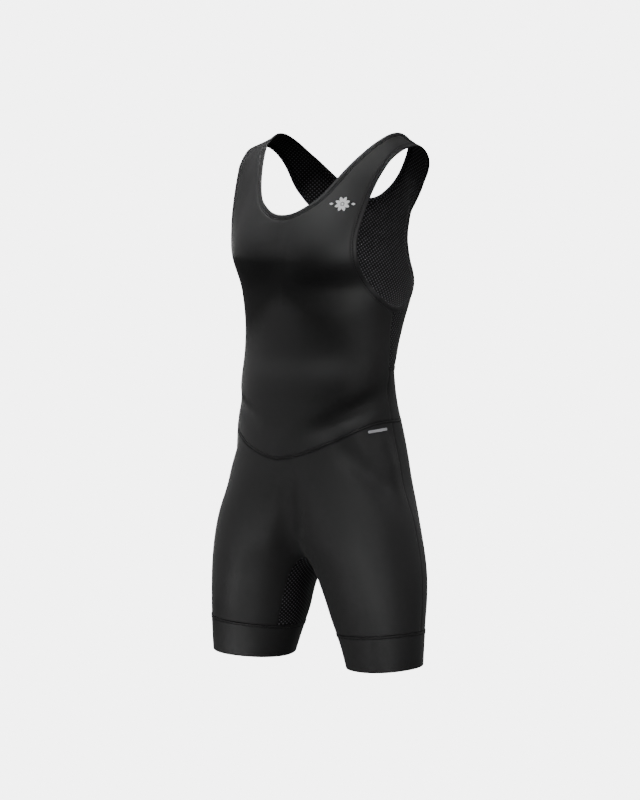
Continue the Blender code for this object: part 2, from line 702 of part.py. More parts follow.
def main():
    """Builds the eleven pieces."""
    for old in list(bpy.data.objects):
        bpy.data.objects.remove(old, do_unlink=True)
    s = main_lines()
    jersey = material("black stretch jersey", 0.012, 0.62, 0.2)
    net = material("black mesh knit", 0.006, 0.8, 0.1)
    edging = material("folded jersey binding", 0.01, 0.6, 0.2)
    add("front_panel", both_halves(front_half(s)), JERSEY, jersey)
    add("back_mesh_panel", both_halves(net_half(s)), NET, net)
    add("back_waist_panel", both_halves(back_waist_half(s)), JERSEY, jersey)
    add("shorts_front", both_halves(shorts_half(s, "front", -1)), JERSEY, jersey)
    add("shorts_back", both_halves(shorts_half(s, "back", 1)), JERSEY, jersey)
    add("gusset", both_halves(gusset_half(s)), NET, net)
    band = leg_band(s)
    add("leg_band_left", band, DOUBLED, jersey)
    add("leg_band_right", other_side(band), DOUBLED, jersey)
    add("neck_binding", binding(s["neck"], s["neck_in"], False), FOLDED, edging)
    arm = binding(s["arm"], s["arm_in"], True)
    add("armhole_binding_left", arm, FOLDED, edging)
    add("armhole_binding_right", other_side(arm), FOLDED, edging)


main()
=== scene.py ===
"""Looks of the wrestling singlet: cloth, net, edgings, sewing, floor and light.

Metres, +Z up, in the same place as the CAD part; the tables below are in millimetres
round the layout's own zero. Every cloth is worked out from the same rounded form and
seam lines as its solid, on a finer grid, with softer creases laid over it.
"""
import math

import bpy
import numpy as np
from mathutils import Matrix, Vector
from mathutils.geometry import delaunay_2d_cdt


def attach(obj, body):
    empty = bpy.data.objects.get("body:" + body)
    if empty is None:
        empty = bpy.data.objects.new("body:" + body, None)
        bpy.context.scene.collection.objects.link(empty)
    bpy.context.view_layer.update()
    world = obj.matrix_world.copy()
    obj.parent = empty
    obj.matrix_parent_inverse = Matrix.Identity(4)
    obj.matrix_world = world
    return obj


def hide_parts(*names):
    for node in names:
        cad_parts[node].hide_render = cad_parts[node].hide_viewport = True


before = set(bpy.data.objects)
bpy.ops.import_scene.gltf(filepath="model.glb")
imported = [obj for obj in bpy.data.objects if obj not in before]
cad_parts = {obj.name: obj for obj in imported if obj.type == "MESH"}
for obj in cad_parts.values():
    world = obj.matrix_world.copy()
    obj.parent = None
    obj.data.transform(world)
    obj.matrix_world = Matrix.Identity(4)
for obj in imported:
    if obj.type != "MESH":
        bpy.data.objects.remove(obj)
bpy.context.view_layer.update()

MM = 0.001

# Middle of the strap tops in the layout below; it becomes the origin.
HELD_AT = (0.0, 45.0, 2.0)

# The worn form by height: z, half width, sideways offset of each leg, middle
# (front to back), depth in front and behind it, and turn of the leg in degrees.
RINGS = (
    (60, 290, 0, 5, 114, 132, 0),
    (-20, 250, 0, 5, 114, 132, 0),
    (-90, 190, 0, 5, 110, 127, 0),
    (-150, 162, 0, 7, 114, 125, 0),
    (-200, 150, 0, 10, 112, 126, 0),
    (-250, 141, 0, 12, 105, 122, 0),
    (-300, 134, 0, 7, 95, 106, 0),
    (-345, 131, 0, 0, 91, 96, 0),
    (-385, 132, 0, -4, 95, 91, 0),
    (-425, 136, 3, -3, 96, 93, 0),
    (-465, 142, 10, 0, 97, 98, 0),
    (-510, 150, 26, 0, 97, 102, 0),
    (-550, 157, 45, -1, 97, 104, 3),
    (-605, 177, 68, -4, 90, 98, 9),
    (-645, 187, 87, -4, 87, 93, 14),
    (-682, 194, 104, -4, 81, 86, 18),
    (-722, 198, 115, -4, 75, 78, 20),
    (-760, 200, 121, -4, 67, 70, 22),
    (-800, 201, 129, -4, 59, 61, 22),
    (-860, 199, 138, -5, 51, 53, 22),
)

# Power of the rings' ovals, power that joins the legs, and ease at the axis of a leg.
ROUNDNESS = 2.2
LEG_BLEND = 7.0
AXIS_EASE = 0.0025

# Shoulders: the form closes over them as a dome that slopes outwards.
DOME_FOOT = -200.0
DOME_FULLNESS = 1.25
RIDGE_TOP = 2.0
RIDGE_X = 121.0
RIDGE_SOFT = 35.0
RIDGE_SLOPE = 0.54
RIDGE_Y = 45.0
RIDGE_FORWARD = 0.1
SHOULDER_X = 100.0
SHOULDER_SPAN = 60.0
SHOULDER_WIDEN = 0.3
SHOULDER_EASE = 0.01
LEAN_MOST, LEAN_CURVE = 1.3, 1.5

# Chest fullness on each side.
CHEST_X, CHEST_Z = 88.0, -172.0
CHEST_WIDE, CHEST_TALL = 52.0, 50.0
CHEST_OUT = 0.075

# Edge of the neck opening (x, y, z), front centre over the shoulder to back centre.
NECK_FRONT = (
    (0, -90, -127), (24, -88, -123), (39, -83, -115), (52, -76, -106), (64, -66, -92),
    (74, -54, -76), (84, -40, -58), (94, -24, -41), (103, -8, -27), (113, 12, -11),
)
NECK_SHOULDER = (118, 45, -1)
NECK_BACK = (
    (115, 74, -10), (103, 90, -27), (88, 101, -43), (74, 109, -58), (58, 116, -73),
    (34, 121, -90), (14, 124, -100), (0, 125, -103),
)

# Edge of the left armhole (x, y, z), shoulder down the front and up the back.
ARM_SHOULDER = (157, 46, -19)
ARM_FRONT = (
    (156, 14, -27), (151, -10, -42), (148, -24, -58), (143, -37, -80), (138, -49, -106),
    (133, -58, -133), (128, -64, -163), (126, -63, -185), (127, -56, -206),
    (131, -39, -230), (136, -14, -254),
)
UNDERARM = (138, 14, -269)
ARM_BACK = (
    (136, 46, -266), (129, 74, -250), (116, 94, -232), (101, 107, -216), (88, 116, -198),
    (82, 119, -175), (85, 117, -152), (98, 111, -130), (117, 103, -108), (132, 98, -88),
    (142, 93, -67), (151, 84, -45), (156, 66, -27),
)

# Side seam from the leg band up to the underarm: height, and place front to back.
SIDE_SEAM = (
    (-790, 2), (-720, 10), (-660, 17), (-600, 19), (-520, 15), (-447, 7),
    (-366, 8), (-320, 11), (-277, 14),
)

# Waist seam: height at the sides and how far it dips at the centre.
WAIST_Z = -447.0
WAIST_DIP_FRONT = 58.0
WAIST_DIP_BACK = 12.0
WAIST_CURVE = 1.6
NET_SEAM_Z = -366.0
NET_SEAM_DIP = 6.0

# Edges of the crotch gusset (x, y, z), from its tip on the centre line down one leg.
GUSSET_FRONT = ((0, -36, -669), (25, -40, -690), (40, -39, -721), (59, -34, -780))
GUSSET_BACK = ((0, 30, -672), (24, 34, -694), (39, 33, -724), (58, 27, -783))
CROTCH_UP = 20

# Leg band seam and hem: height on the leg's axis, rise outwards and backwards. The side
# seam meets the band a little above the axis height.
BAND_TOP = (-779.0, 0.085, 0.0)
HEM = (-831.0, 0.06, 0.05)
BAND_SIDE_UP = 5

# Folds and creases of the worn cloth: half width in mm, then the points on the form that
# it runs through, each with its height there (below zero is a hollow). The wearer's pull
# makes them lie unlike on each side, and most fade away from the seam they start at.
FOLDS = (
    # chest
    (36, ((20, -104, -190, 4.5), (50, -101, -198, 7.0), (88, -90, -198, 6.5),
          (122, -66, -192, 6.0))),
    (36, ((-30, -104, -190, 4.5), (-56, -99, -196, 6.0), (-88, -88, -198, 6.0),
          (-112, -70, -200, 3.0))),
    # below the chest, and between its sides
    (26, ((128, -52, -236, -7.0), (96, -78, -242, -11.0), (40, -96, -244, -8.0),
          (0, -98, -246, -3.0), (-50, -94, -246, -3.5), (-100, -76, -246, -2.0))),
    (30, ((-12, -95, -138, -2.5), (-8, -103, -174, -5.5), (-4, -102, -202, -5.0))),
    # belly, and above the waist
    (38, ((-30, -92, -306, 3.0), (34, -88, -308, 3.5), (74, -74, -300, 2.5))),
    (34, ((130, 10, -350, 3.0), (126, -30, -362, 5.0), (104, -64, -378, 4.5),
          (73, -87, -389, 2.5), (40, -96, -396, 0.0))),
    # along the waist seam
    (16, ((131, 0, -400, -3.0), (126, -38, -418, -6.5), (110, -66, -434, -7.0),
          (78, -88, -454, -5.0), (40, -98, -468, -1.0))),
    (15, ((-112, -60, -424, -4.0), (-97, -76, -429, -4.5), (-67, -91, -440, -3.0),
          (-32, -99, -456, 0.0))),
    # hips
    (17, ((98, -79, -470, -2.0), (112, -72, -494, -6.0), (134, -52, -524, -8.5),
          (150, -30, -552, -6.0), (160, -14, -580, 0.0))),
    (15, ((-104, -76, -476, 0.0), (-122, -62, -494, -4.0), (-143, -43, -528, -4.0),
          (-158, -19, -562, 0.0))),
    # right thigh
    (26, ((-84, -94, -640, 0.0), (-106, -88, -675, 2.5), (-127, -77, -743, 2.5))),
    # from the waist to the crotch
    (24, ((34, -100, -500, -3.0), (21, -98, -570, -7.0), (12, -88, -610, -8.0),
          (-7, -63, -646, -5.0))),
    # left hip
    (16, ((144, -17, -480, 3.0), (153, -9, -515, 4.0), (162, -5, -560, 2.0))),
    # right strap
    (20, ((-146, -14, -48, 2.5), (-150, 4, -30, 3.0))),
    # strap tops
    (15, ((-110, 16, -4, -2.5), (-128, 22, -8, -1.5))),
    (16, ((134, 34, -8, -2.0), (170, 36, -27, -1.5))),
    # left shoulder edge
    (20, ((200, 13, -65, -2.0), (186, 18, -96, -2.0))),
    # back, above the waist
    (14, ((60, 95, -330, 0.0), (94, 72, -350, -3.0), (125, 45, -372, -2.5))),
    (14, ((-56, 96, -322, 0.0), (-94, 72, -346, -3.0), (-127, 42, -372, -2.5))),
    # seat
    (16, ((20, 100, -560, -2.0), (12, 85, -640, -5.0))),
    # below the seat
    (15, ((90, 85, -600, 0.0), (122, 78, -622, -3.5), (150, 60, -640, -2.0))),
    (15, ((-86, 86, -590, 0.0), (-120, 78, -616, -3.5), (-151, 58, -640, -2.0))),
    # sides of the net
    (18, ((45, 118, -262, 0.0), (76, 108, -282, -3.5), (100, 90, -300, -2.0))),
    (18, ((-40, 119, -256, 0.0), (-76, 108, -280, -3.5), (-102, 88, -304, -2.0))),
    # back of the straps
    (30, ((112, 106, -118, -6.0), (130, 98, -84, -6.0))),
    (30, ((-112, 106, -118, -6.0), (-130, 98, -84, -6.0))),
)

# Wall thickness of the jersey (drawn twice as thick as it is), of the net and of the
# doubled hem band, the space left at a seam, and the width of the folded edging.
JERSEY = 1.4
NET = 0.3
DOUBLED = 2.2
SEAM_GAP = 0.3
BINDING_WIDTH = 8.0

# How finely the pieces are cut into rows; FINE small steps lie in each main row. Main
# rows are evened out EVENING times and all of them EVENING_FINE times more, and rows
# weigh ALONG_ROWS of 0.5 against columns.
FINE = 6
ACROSS = 10 * FINE
WAIST_ROWS = 5 * FINE
SIDE_ROWS = 5 * FINE
ARM_ROWS = 22 * FINE
CENTRE_EXTRA = 5 * FINE
NECK_ROWS = ARM_ROWS - CENTRE_EXTRA
NET_CENTRE_ROWS = SIDE_ROWS + 12 * FINE
LEG_ROWS = 8 * FINE
HIP_ROWS = 6 * FINE
GUSSET_ACROSS = 8 * FINE
EVENING, EVENING_FINE = 60, 5
ALONG_ROWS = 0.42

# How many points lines are worked out with before they are cut into even steps: between
# two rows of a table, round the torso, along the side, a leg, the crotch and the centre.
LINE_STEPS = 24
TORSO_POINTS, SIDE_POINTS, LEG_POINTS, CROTCH_POINTS, CENTRE_POINTS = 161, 240, 200, 120, 60
SIDE_SMOOTH = 12

# Distance from the centre plane that counts as on it, digits to which points that meet
# there agree, and distance under which two flat points are one. Points on their way to
# the form: steps, fewer where they are near it already, and the longest of them. Rays
# shot at the form: their length, and how often the stretch they leave it in is halved.
# How often the heights of a seam round the torso are worked out again. How many points
# are held against others at a time.
ON_CENTRE, DIGITS, SAME_PLACE = 1e-3, 4, 1e-5
STEPS, STEPS_OFF_LINE, STEPS_NEAR, STEPS_NEARLY, STEPS_EASING = 24, 6, 5, 4, 3
STRIDE = 25
RAY, HALVINGS = 320.0, 42
TORSO_ROUNDS = 4
AT_A_TIME = 2000

# Laying cloth flat: rounds, and share of the way that a point moves in one. Finding a
# flat place on a grid: lines between the first tries, steps, and most lines in a step.
FLAT_ROUNDS, FLAT_STEP = 700, 1.6
COARSE, NEWTON_STEPS, NEWTON_MOST = 4, 12, 6

# Cloth is drawn down where it is sewn, within this distance of the seam. Extra lines of
# the grid lie there: distance from the edge, and most share of the grid's first step.
EDGE_LINES = ((0.5, 0.2), (1.3, 0.45), (2.1, 0.7), (3.0, 0.9))
EDGE_SINK, EDGE_CURVE = 0.7, 1.25
EDGE_REACH = 3.0

# The net: holes in staggered rows, turned a little from upright. Real ones are 1 mm wide
# and 3 mm apart. They lie wider apart here so that they show, and are small so that no
# pale floor sparkles through. They close in the straps, where the net is less stretched.
HOLE_PITCH = 7.0
HOLE_ROW = 3.3
HOLE_SIZE = 0.26
HOLE_SIDES = 8
STRAP_FROM, STRAP_SPAN, STRAP_SHARE = -90.0, 50.0, 0.4
HOLE_MARGIN = 1.2
NET_TURN = -12.0

# Where the cloth's flat places start, in metres.
FLAT_START = (0.5, 1.0)

# Angle (degrees) over which an edge between faces stays sharp: cloth, net and stitches.
SHARP, NET_SHARP, STITCH_SHARP = 50.0, 40.0, 75.0

# Folded edging from the free edge (0) to its seam: distance from the edge and height.
EDGING = (
    (0.0, 0.1), (0.12, 0.62), (0.5, 1.02), (1.2, 1.25), (2.4, 1.32), (4.0, 1.3),
    (5.0, 1.2), (5.6, 1.0), (6.1, 0.58), (6.45, 0.42), (6.8, 0.6), (7.2, 0.76),
    (8.0, 0.82), (8.5, 0.78), (8.8, 0.55), (8.8, -0.6), (8.2, -0.95), (7.0, -1.05),
    (4.0, -1.2), (1.2, -1.15), (0.4, -0.85), (0.08, -0.4),
)
EDGING_STITCH = 6.45
EDGING_NEEDLE = 0.6
EDGING_WAVES = ((37, 0.05, 0.4), (83, 0.035, 2.0))

# Flat cover seam: a soft pad of threads over the join, sewn down along both sides.
COVER = (
    (1.7, 0.15), (1.68, 0.5), (1.4, 0.82), (0.9, 1.0), (0.0, 1.08), (-0.9, 1.0),
    (-1.4, 0.82), (-1.68, 0.5), (-1.7, 0.15), (-2.6, -0.45), (-2.1, -0.95), (-1.0, -1.15),
    (0.0, -1.2), (1.0, -1.15), (2.1, -0.95), (2.6, -0.45),
)
COVER_NEEDLE = 2.25
COVER_HEIGHT = 0.62
COVER_WAVES = ((41, 0.04, 0.3), (97, 0.03, 1.1))
HEM_RISE = 0.6

# Plain seam: the two cloths' edges overlocked together and turned in behind the join.
TURNED_IN = (
    (2.6, -0.5), (2.8, -0.9), (2.2, -1.3), (0.0, -1.45), (-2.2, -1.3), (-2.8, -0.9),
    (-2.6, -0.5), (-1.0, -0.2), (0.0, -0.15), (1.0, -0.2),
)

# Hem band: share of its height and distance off the form, at its seam and at its fold.
HEM_SEWN = ((0.004, 0.35), (0.012, 0.75), (0.03, 1.0), (0.07, 1.08))
HEM_FOLD = ((0.975, 1.0), (0.989, 0.75), (0.997, 0.35))

# Stitches: distance of the shoulder's row from its seam; how far apart, long and thick,
# about twice as coarse as real thread so that they show; sides of a stitch, and height
# of the shoulder's row over the cloth. Rings of a stitch: share of its length and of its
# thickness, and height in mm.
SHOULDER_STITCH = 2.4
STITCH_PITCH = 3.2
STITCH_LONG = 2.75
STITCH_THICK = 1.15
STITCH_SIDES = 5
STITCH_OFF = 0.1
STITCH_RINGS = ((-0.5, 0.35, -0.22), (-0.3, 1.0, 0.0), (0.3, 1.0, 0.0), (0.5, 0.35, -0.22))

# Plain print: a rosette on the chest and a bar below the waist seam. Petals and side
# leaves: where they start, their length and width. The disc in the middle: its breadth.
# Grids have these rows and columns, and tips keep a little breadth.
PRINT_THICK, PRINT_SUNK = 0.25, 0.04
ROSETTE_AT = (101.0, -69.0, -108.0)
PETALS, PETAL = 8, (2.6, 10.2, 5.4)
SIDE_LEAF, SIDE_LEAF_POWER = (14.8, 6.4, 3.6), 0.9
LEAF_GRID, LEAF_TIP, DISC = (13, 7), 0.06, 3.8
BAR_AT = (135.0, -24.0, -460.0)
BAR_LONG, BAR_WIDE, BAR_TURN = 38.0, 4.4, 0.09
BAR_GRID, BAR_TIP = (41, 5), 0.001

# The net's own edge, turned in behind the edging at the back.
NET_FACING = (
    (0.9, -1.1), (4.0, -1.1), (8.4, -0.9), (8.7, -1.05), (8.4, -1.25), (4.0, -1.4),
    (1.2, -1.35),
)

# Knit of the jersey in mm: a wale across and a course up, drawn twice as wide as real
# ones so that they show; how far loops bend to a V, and how round their columns are.
WALE, COURSE = 1.0, 1.2
LOOP_BEND, LOOP_HEIGHT, LOOP_ROUND = 1.6, 0.22, 0.6

# Painted light dots round the net's holes, in place of the light that real holes let through:
# how near they fade in and out, and times as light.
PAINTED_DOT_FADE, PAINTED_DOT_LIGHT = (0.6, 0.88), 13.0

# Twist of the sewing thread, and ribs of the cover thread with their slant, in mm; grain
# of the print, per metre.
PLY, RIB, RIB_SLANT = 0.6, 0.9, 0.6
GRAIN_SCALE = 900.0

# Backdrop brightness, and the soft light: direction it comes from, how narrow, strength.
PALE = 5.5
LIGHTS = (
    ((0.0, 0.0, 1.0), 1.5, 0.22),
    ((-0.77, -0.638, 0.0), 3.0, 0.29),
    ((0.65, 0.55, 0.4), 4.0, 0.32),
    ((-0.5, 0.6, 0.6), 3.0, 0.3),
    ((0.0, 1.0, 0.0), 5.0, 0.15),
    ((0.0, -0.9, -0.4), 3.0, 0.08),
    ((0.0, 0.0, -1.0), 1.0, 0.03),
)
# Soft spots: place, aim, radius of the lamp (m), half angle of its cone (degrees), watts.
# They light: the chest from above; the chest; the right hem; the left thigh; the left
# hem; the left thigh's side; the left hip; the net inside; belly and hips; the belly's
# left side; the back.
SPOTS = (
    ((-0.06, -0.42, 1.25), (-0.06, -0.10, -0.22), 0.18, 6.5, 350),
    ((0.40, -0.71, 0.70), (0.0, -0.10, -0.19), 0.15, 6, 10),
    ((-0.28, -1.12, -1.10), (-0.12, -0.08, -0.77), 0.25, 16, 31),
    ((0.58, -1.10, -0.76), (0.19, -0.05, -0.62), 0.08, 9.5, 15),
    ((0.80, -0.95, -0.95), (0.18, -0.05, -0.80), 0.06, 8, 12),
    ((1.05, -0.50, -0.60), (0.13, -0.05, -0.68), 0.25, 16, 12),
    ((1.15, -0.55, 0.05), (0.15, -0.05, -0.47), 0.12, 7, 13),
    ((1.48, -1.72, -0.10), (0.07, 0.02, -0.20), 0.06, 3.3, 120),
    ((0.30, -0.90, 0.30), (0.06, -0.08, -0.50), 0.20, 8, 13),
    ((1.20, -0.50, -0.45), (0.125, -0.04, -0.333), 0.06, 3.9, 16),
    ((-0.90, 1.60, -0.10), (0.0, 0.05, -0.40), 0.30, 20, 75),
)

# Floor, far below the garment: half its side and its height, in metres.
FLOOR_HALF, FLOOR_Z = 60.0, -1.25

# Camera: place, tilt and turn (degrees), length of the lens and width behind it (mm).
CAMERA_AT = (3.14966, -3.7986, -0.037)
CAMERA_TILT, CAMERA_TURN = 85.5, 40.0
LENS, SENSOR, CAMERA_REACH = 140.0, 36.0, 200.0


# ---------------------------------------------------------------- the worn form
def cubic(t, a, b, slope_a, slope_b, step=1.0):
    """Smooth value from a (t = 0) to b (t = 1), by Hermite's cubic: (2ttt - 3tt + 1) a
    + (ttt - 2tt + t) slope_a step + (3tt - 2ttt) b + (ttt - tt) slope_b step."""
    return ((2 * t ** 3 - 3 * t ** 2 + 1) * a + (t ** 3 - 2 * t ** 2 + t) * slope_a * step
            + (3 * t ** 2 - 2 * t ** 3) * b + (t ** 3 - t ** 2) * slope_b * step)


def ring_sizes(z):
    """Columns of RINGS at any height, eased smoothly from row to row."""
    table = np.array(RINGS, float)
    heights, sizes = table[:, 0], table[:, 1:]
    slopes = np.gradient(sizes, heights, axis=0)
    z = np.clip(z, heights[-1], heights[0])
    row = np.clip(np.searchsorted(-heights, -z, side="right") - 1, 0, len(heights) - 2)
    step = (heights[row + 1] - heights[row])[..., None]
    t = (z - heights[row])[..., None] / step
    value = cubic(t, sizes[row], sizes[row + 1], slopes[row], slopes[row + 1], step)
    return np.moveaxis(value, -1, 0)


def dome(z, x, middle):
    """How far up the shoulder dome a point is, and the middle leaning to the ridge."""
    x = np.sqrt(x * x + RIDGE_SOFT ** 2)
    top = RIDGE_TOP - RIDGE_SLOPE * (x - RIDGE_X)
    rise = np.maximum((z - DOME_FOOT) / (top - DOME_FOOT), 0)
    ridge = RIDGE_Y - RIDGE_FORWARD * (x - RIDGE_X)
    return rise, middle + np.minimum(rise, LEAN_MOST) ** LEAN_CURVE * (ridge - middle)


def form(p):
    """1 on the worn form, less inside it and more outside.

    Each leg is an oval, u and v shares of its half width and depth: (|u|^n + |v|^n)^(1/n),
    n = ROUNDNESS. The two are joined by a sum of powers -LEG_BLEND, so that the trunk is
    their smooth union, and the dome over the shoulders adds its own share.
    """
    x, y, z = np.abs(p[..., 0]), p[..., 1], p[..., 2]
    side, leg, middle, front, back, turn = ring_sizes(z)
    leg = np.maximum(leg, 0)
    rise, middle = dome(z, x, middle)
    bump = sum(np.exp(-((x - c) / CHEST_WIDE) ** 2) for c in (CHEST_X, -CHEST_X))
    front = front * (1 + CHEST_OUT * bump * np.exp(-((z - CHEST_Z) / CHEST_TALL) ** 2))
    outer = (x - SHOULDER_X) / SHOULDER_SPAN
    outer = np.minimum((outer + np.sqrt(outer ** 2 + SHOULDER_EASE)) / 2, 1)
    widen = 1 + SHOULDER_WIDEN * np.minimum(rise, 1) * outer
    cos, sin = np.cos(np.radians(turn)), np.sin(np.radians(turn))
    radius = side - leg

    def reach(across):
        u = (across - leg) * cos - (y - middle) * sin
        v = (across - leg) * sin + (y - middle) * cos
        depth = np.where(v < 0, front, back) * widen
        return (np.sqrt((u / radius) ** 2 + AXIS_EASE) ** ROUNDNESS
                + np.abs(v / depth) ** ROUNDNESS) ** (1 / ROUNDNESS)

    near, far = np.maximum(reach(x), 1e-6), np.maximum(reach(-x), 1e-6)
    both = (near ** -LEG_BLEND + far ** -LEG_BLEND) ** (-1 / LEG_BLEND)
    edge = (1 + ((side + leg) / radius) ** -LEG_BLEND) ** (-1 / LEG_BLEND)
    body = (both / edge) ** ROUNDNESS
    cover = np.where(rise < 1, rise ** 2 * (1 + DOME_FULLNESS * (1 - rise)),
                     1 + (2 - DOME_FULLNESS) * (rise - 1))
    free = 1 - np.minimum(x / side, 1) ** ROUNDNESS
    return (body + free * cover) ** (1 / ROUNDNESS)


def gradient(p, step=0.05):
    """Rate of change of the form in x, y and z."""
    shifts = np.eye(3) * step
    return np.stack([(form(p + s) - form(p - s)) / (2 * step) for s in shifts], -1)


def on_form(p, steps=STEPS):
    """Moves points along the gradient until they lie on the form."""
    p = np.array(p, float)
    for _ in range(steps):
        g = gradient(p)
        move = ((form(p) - 1) / np.maximum((g * g).sum(-1), 1e-9))[..., None] * g
        size = np.linalg.norm(move, axis=-1, keepdims=True)
        p = p - move * np.minimum(1, STRIDE / np.maximum(size, 1e-9))
    return p


def outward(p):
    """Unit normals of the form."""
    g = gradient(p)
    return g / np.linalg.norm(g, axis=-1, keepdims=True)


def lift(p):
    """How far folds lift or sink the cloth at each point.

    A fold's height, taken at the nearest point of its line, is spread by the bell
    (1 - x x / 4) to the fourth power, where x is the distance in half widths; it is
    nought from two half widths on.
    """
    total = np.zeros(p.shape[:-1])
    for half_width, points in FOLDS:
        closest, height = np.full(p.shape[:-1], np.inf), np.zeros(p.shape[:-1])
        points = np.array(points, float)
        for start, end in zip(points[:-1], points[1:]):
            line = end[:3] - start[:3]
            t = np.clip((p - start[:3]) @ line / (line @ line), 0, 1)
            away = np.linalg.norm(p - start[:3] - t[..., None] * line, axis=-1)
            height = np.where(away < closest, start[3] + t * (end[3] - start[3]), height)
            closest = np.minimum(closest, away)
        total += height * np.maximum(1 - (closest / half_width) ** 2 / 4, 0) ** 4
    return total


# --------------------------------------------------------------------- curves
def lengths(points):
    """Distance along a line of points, starting at 0."""
    return np.concatenate([[0], np.cumsum(np.linalg.norm(np.diff(points, axis=0), axis=1))])


def smooth(rows):
    """A smooth line through rows of points, LINE_STEPS steps between two rows."""
    rows = np.array(rows, float)
    at = lengths(rows)
    slope = np.gradient(rows, at, axis=0)
    t = np.linspace(0, 1, LINE_STEPS, endpoint=False)[:, None]
    parts = [cubic(t, rows[k], rows[k + 1], slope[k], slope[k + 1], at[k + 1] - at[k])
             for k in range(len(rows) - 1)]
    return np.concatenate(parts + [rows[-1:]])


def along_line(points, want):
    """Points of a line at some distances along it."""
    at = lengths(points)
    return np.stack([np.interp(want, at, points[:, k]) for k in range(3)], -1)


def even(points, count):
    """The same line cut into `count` equal steps."""
    return along_line(points, np.linspace(0, lengths(points)[-1], count + 1))


def mirrored(points):
    """The same points on the other side of the body."""
    return points * np.array([-1.0, 1.0, 1.0])


def sideways(points, start=None, end=None):
    """Unit directions along the form and square to a line, to the left of its direction
    seen from outside; start and end give the points beyond its ends."""
    start = 2 * points[:1] - points[1:2] if start is None else start
    end = 2 * points[-1:] - points[-2:-1] if end is None else end
    line = np.concatenate([start, points, end])
    along = line[2:] - line[:-2]
    return np.cross(outward(points), along / np.linalg.norm(along, axis=-1, keepdims=True))


def round_torso(first, last, count, height):
    """Seam round the torso from one angle to another; height gives z at each x/half width."""
    angle = np.linspace(first, last, TORSO_POINTS)
    z = np.full(angle.shape, height(0.0))
    for _ in range(TORSO_ROUNDS):
        side, _, middle = ring_sizes(z)[:3]
        start = np.stack([0 * z, middle, z], -1)
        aim = np.stack([np.sin(angle), -np.cos(angle), 0 * z], -1)
        points = shoot(start, aim)
        z = height(np.clip(points[:, 0] / side, 0, 1))
    return even(points, count)


def shoot(start, aim):
    """Where rays from inside the form leave it, by halving the stretch they leave it in."""
    low, high = np.zeros(len(aim)), np.full(len(aim), RAY)
    for _ in range(HALVINGS):
        middle = (low + high) / 2
        inside = form(start + aim * middle[:, None]) < 1
        low, high = np.where(inside, middle, low), np.where(inside, high, middle)
    return start + aim * low[:, None]


def leg_ring(plane, angles):
    """Points round the left leg where a tilted plane cuts the form."""
    height, rise_out, rise_back = plane
    _, leg, middle = ring_sizes(np.array([height]))[:3]
    start = np.array([leg[0], middle[0], height])
    aim = np.stack([np.cos(angles), np.sin(angles),
                    rise_out * np.cos(angles) + rise_back * np.sin(angles)], -1)
    return shoot(start + 0 * aim, aim)


def leg_angle(point):
    """Angle of a point round the axis of the left leg."""
    _, leg, middle = ring_sizes(np.array([point[2]]))[:3]
    return np.arctan2(point[1] - middle[0], point[0] - leg[0])


# --------------------------------------------------------------------- patches
def coons(left, right, bottom, top):
    """Grid that blends four lines: the two ways across, less the blend of the corners."""
    v = np.linspace(0, 1, len(left))[:, None, None]
    u = np.linspace(0, 1, len(bottom))[None, :, None]
    corners = ((1 - u) * (1 - v) * left[0] + u * (1 - v) * right[0]
               + (1 - u) * v * left[-1] + u * v * right[-1])
    return ((1 - u) * left[:, None] + u * right[:, None]
            + (1 - v) * bottom[None] + v * top[None] - corners)


def eased(grid, lines, rounds):
    """Evens a grid out: each inner point moves to the mean of its neighbours, on the form."""
    for _ in range(rounds):
        grid = on_form(grid, STEPS_EASING)
        grid[:, 0], grid[:, -1], grid[0], grid[-1] = lines
        grid[1:-1, 1:-1] = (ALONG_ROWS * (grid[1:-1, :-2] + grid[1:-1, 2:])
                            + (0.5 - ALONG_ROWS) * (grid[:-2, 1:-1] + grid[2:, 1:-1]))
    return grid


def spread(values, fine, axis):
    """`fine` steps between every two lines of a grid along one axis, on a smooth cubic."""
    values = np.moveaxis(values, axis, 0)
    slope = np.gradient(values, axis=0)
    t = (np.arange(fine) / fine).reshape((1, fine) + (1,) * (values.ndim - 1))
    made = cubic(t, values[:-1, None], values[1:, None], slope[:-1, None], slope[1:, None])
    made = made.reshape((-1,) + values.shape[1:])
    return np.moveaxis(np.concatenate([made, values[-1:]]), 0, axis)


def patch(left, right, bottom, top):
    """Grid between four lines: evened out on every FINE-th line, then filled in."""
    lines = (left, right, bottom, top)
    main = [line[::FINE] for line in lines]
    rough = coons(*main)
    offset = eased(rough.copy(), main, EVENING) - rough
    grid = coons(*lines) + spread(spread(offset, FINE, 0), FINE, 1)
    grid = eased(grid, lines, EVENING_FINE)
    grid[1:-1, 1:-1] = on_form(grid[1:-1, 1:-1], STEPS_NEAR)
    return grid


def trimmed(lines, shifts):
    """Four lines of a patch, each moved by its shift, with corners moved by both."""
    left, right, bottom, top = [line + shift for line, shift in zip(lines, shifts)]
    by_bottom, by_top = shifts[2:]
    left[0] += by_bottom[0]
    left[-1] += by_top[0]
    right[0] += by_bottom[-1]
    right[-1] += by_top[-1]
    bottom[0], bottom[-1] = left[0], right[0]
    top[0], top[-1] = left[-1], right[-1]
    return left, right, bottom, top


def quads(rows, columns, tube=False, looped=False):
    """Vertex numbers of the faces of a grid, wound to face away from the form. A tube's
    last column joins its first, and a looped grid's last row its first."""
    index = np.arange(rows * columns).reshape(rows, columns)
    index = np.concatenate([index, index[:, :1]], 1) if tube else index
    index = np.concatenate([index, index[:1]]) if looped else index
    return np.stack([index[:-1, :-1], index[:-1, 1:], index[1:, 1:], index[1:, :-1]],
                    -1).reshape(-1, 4)


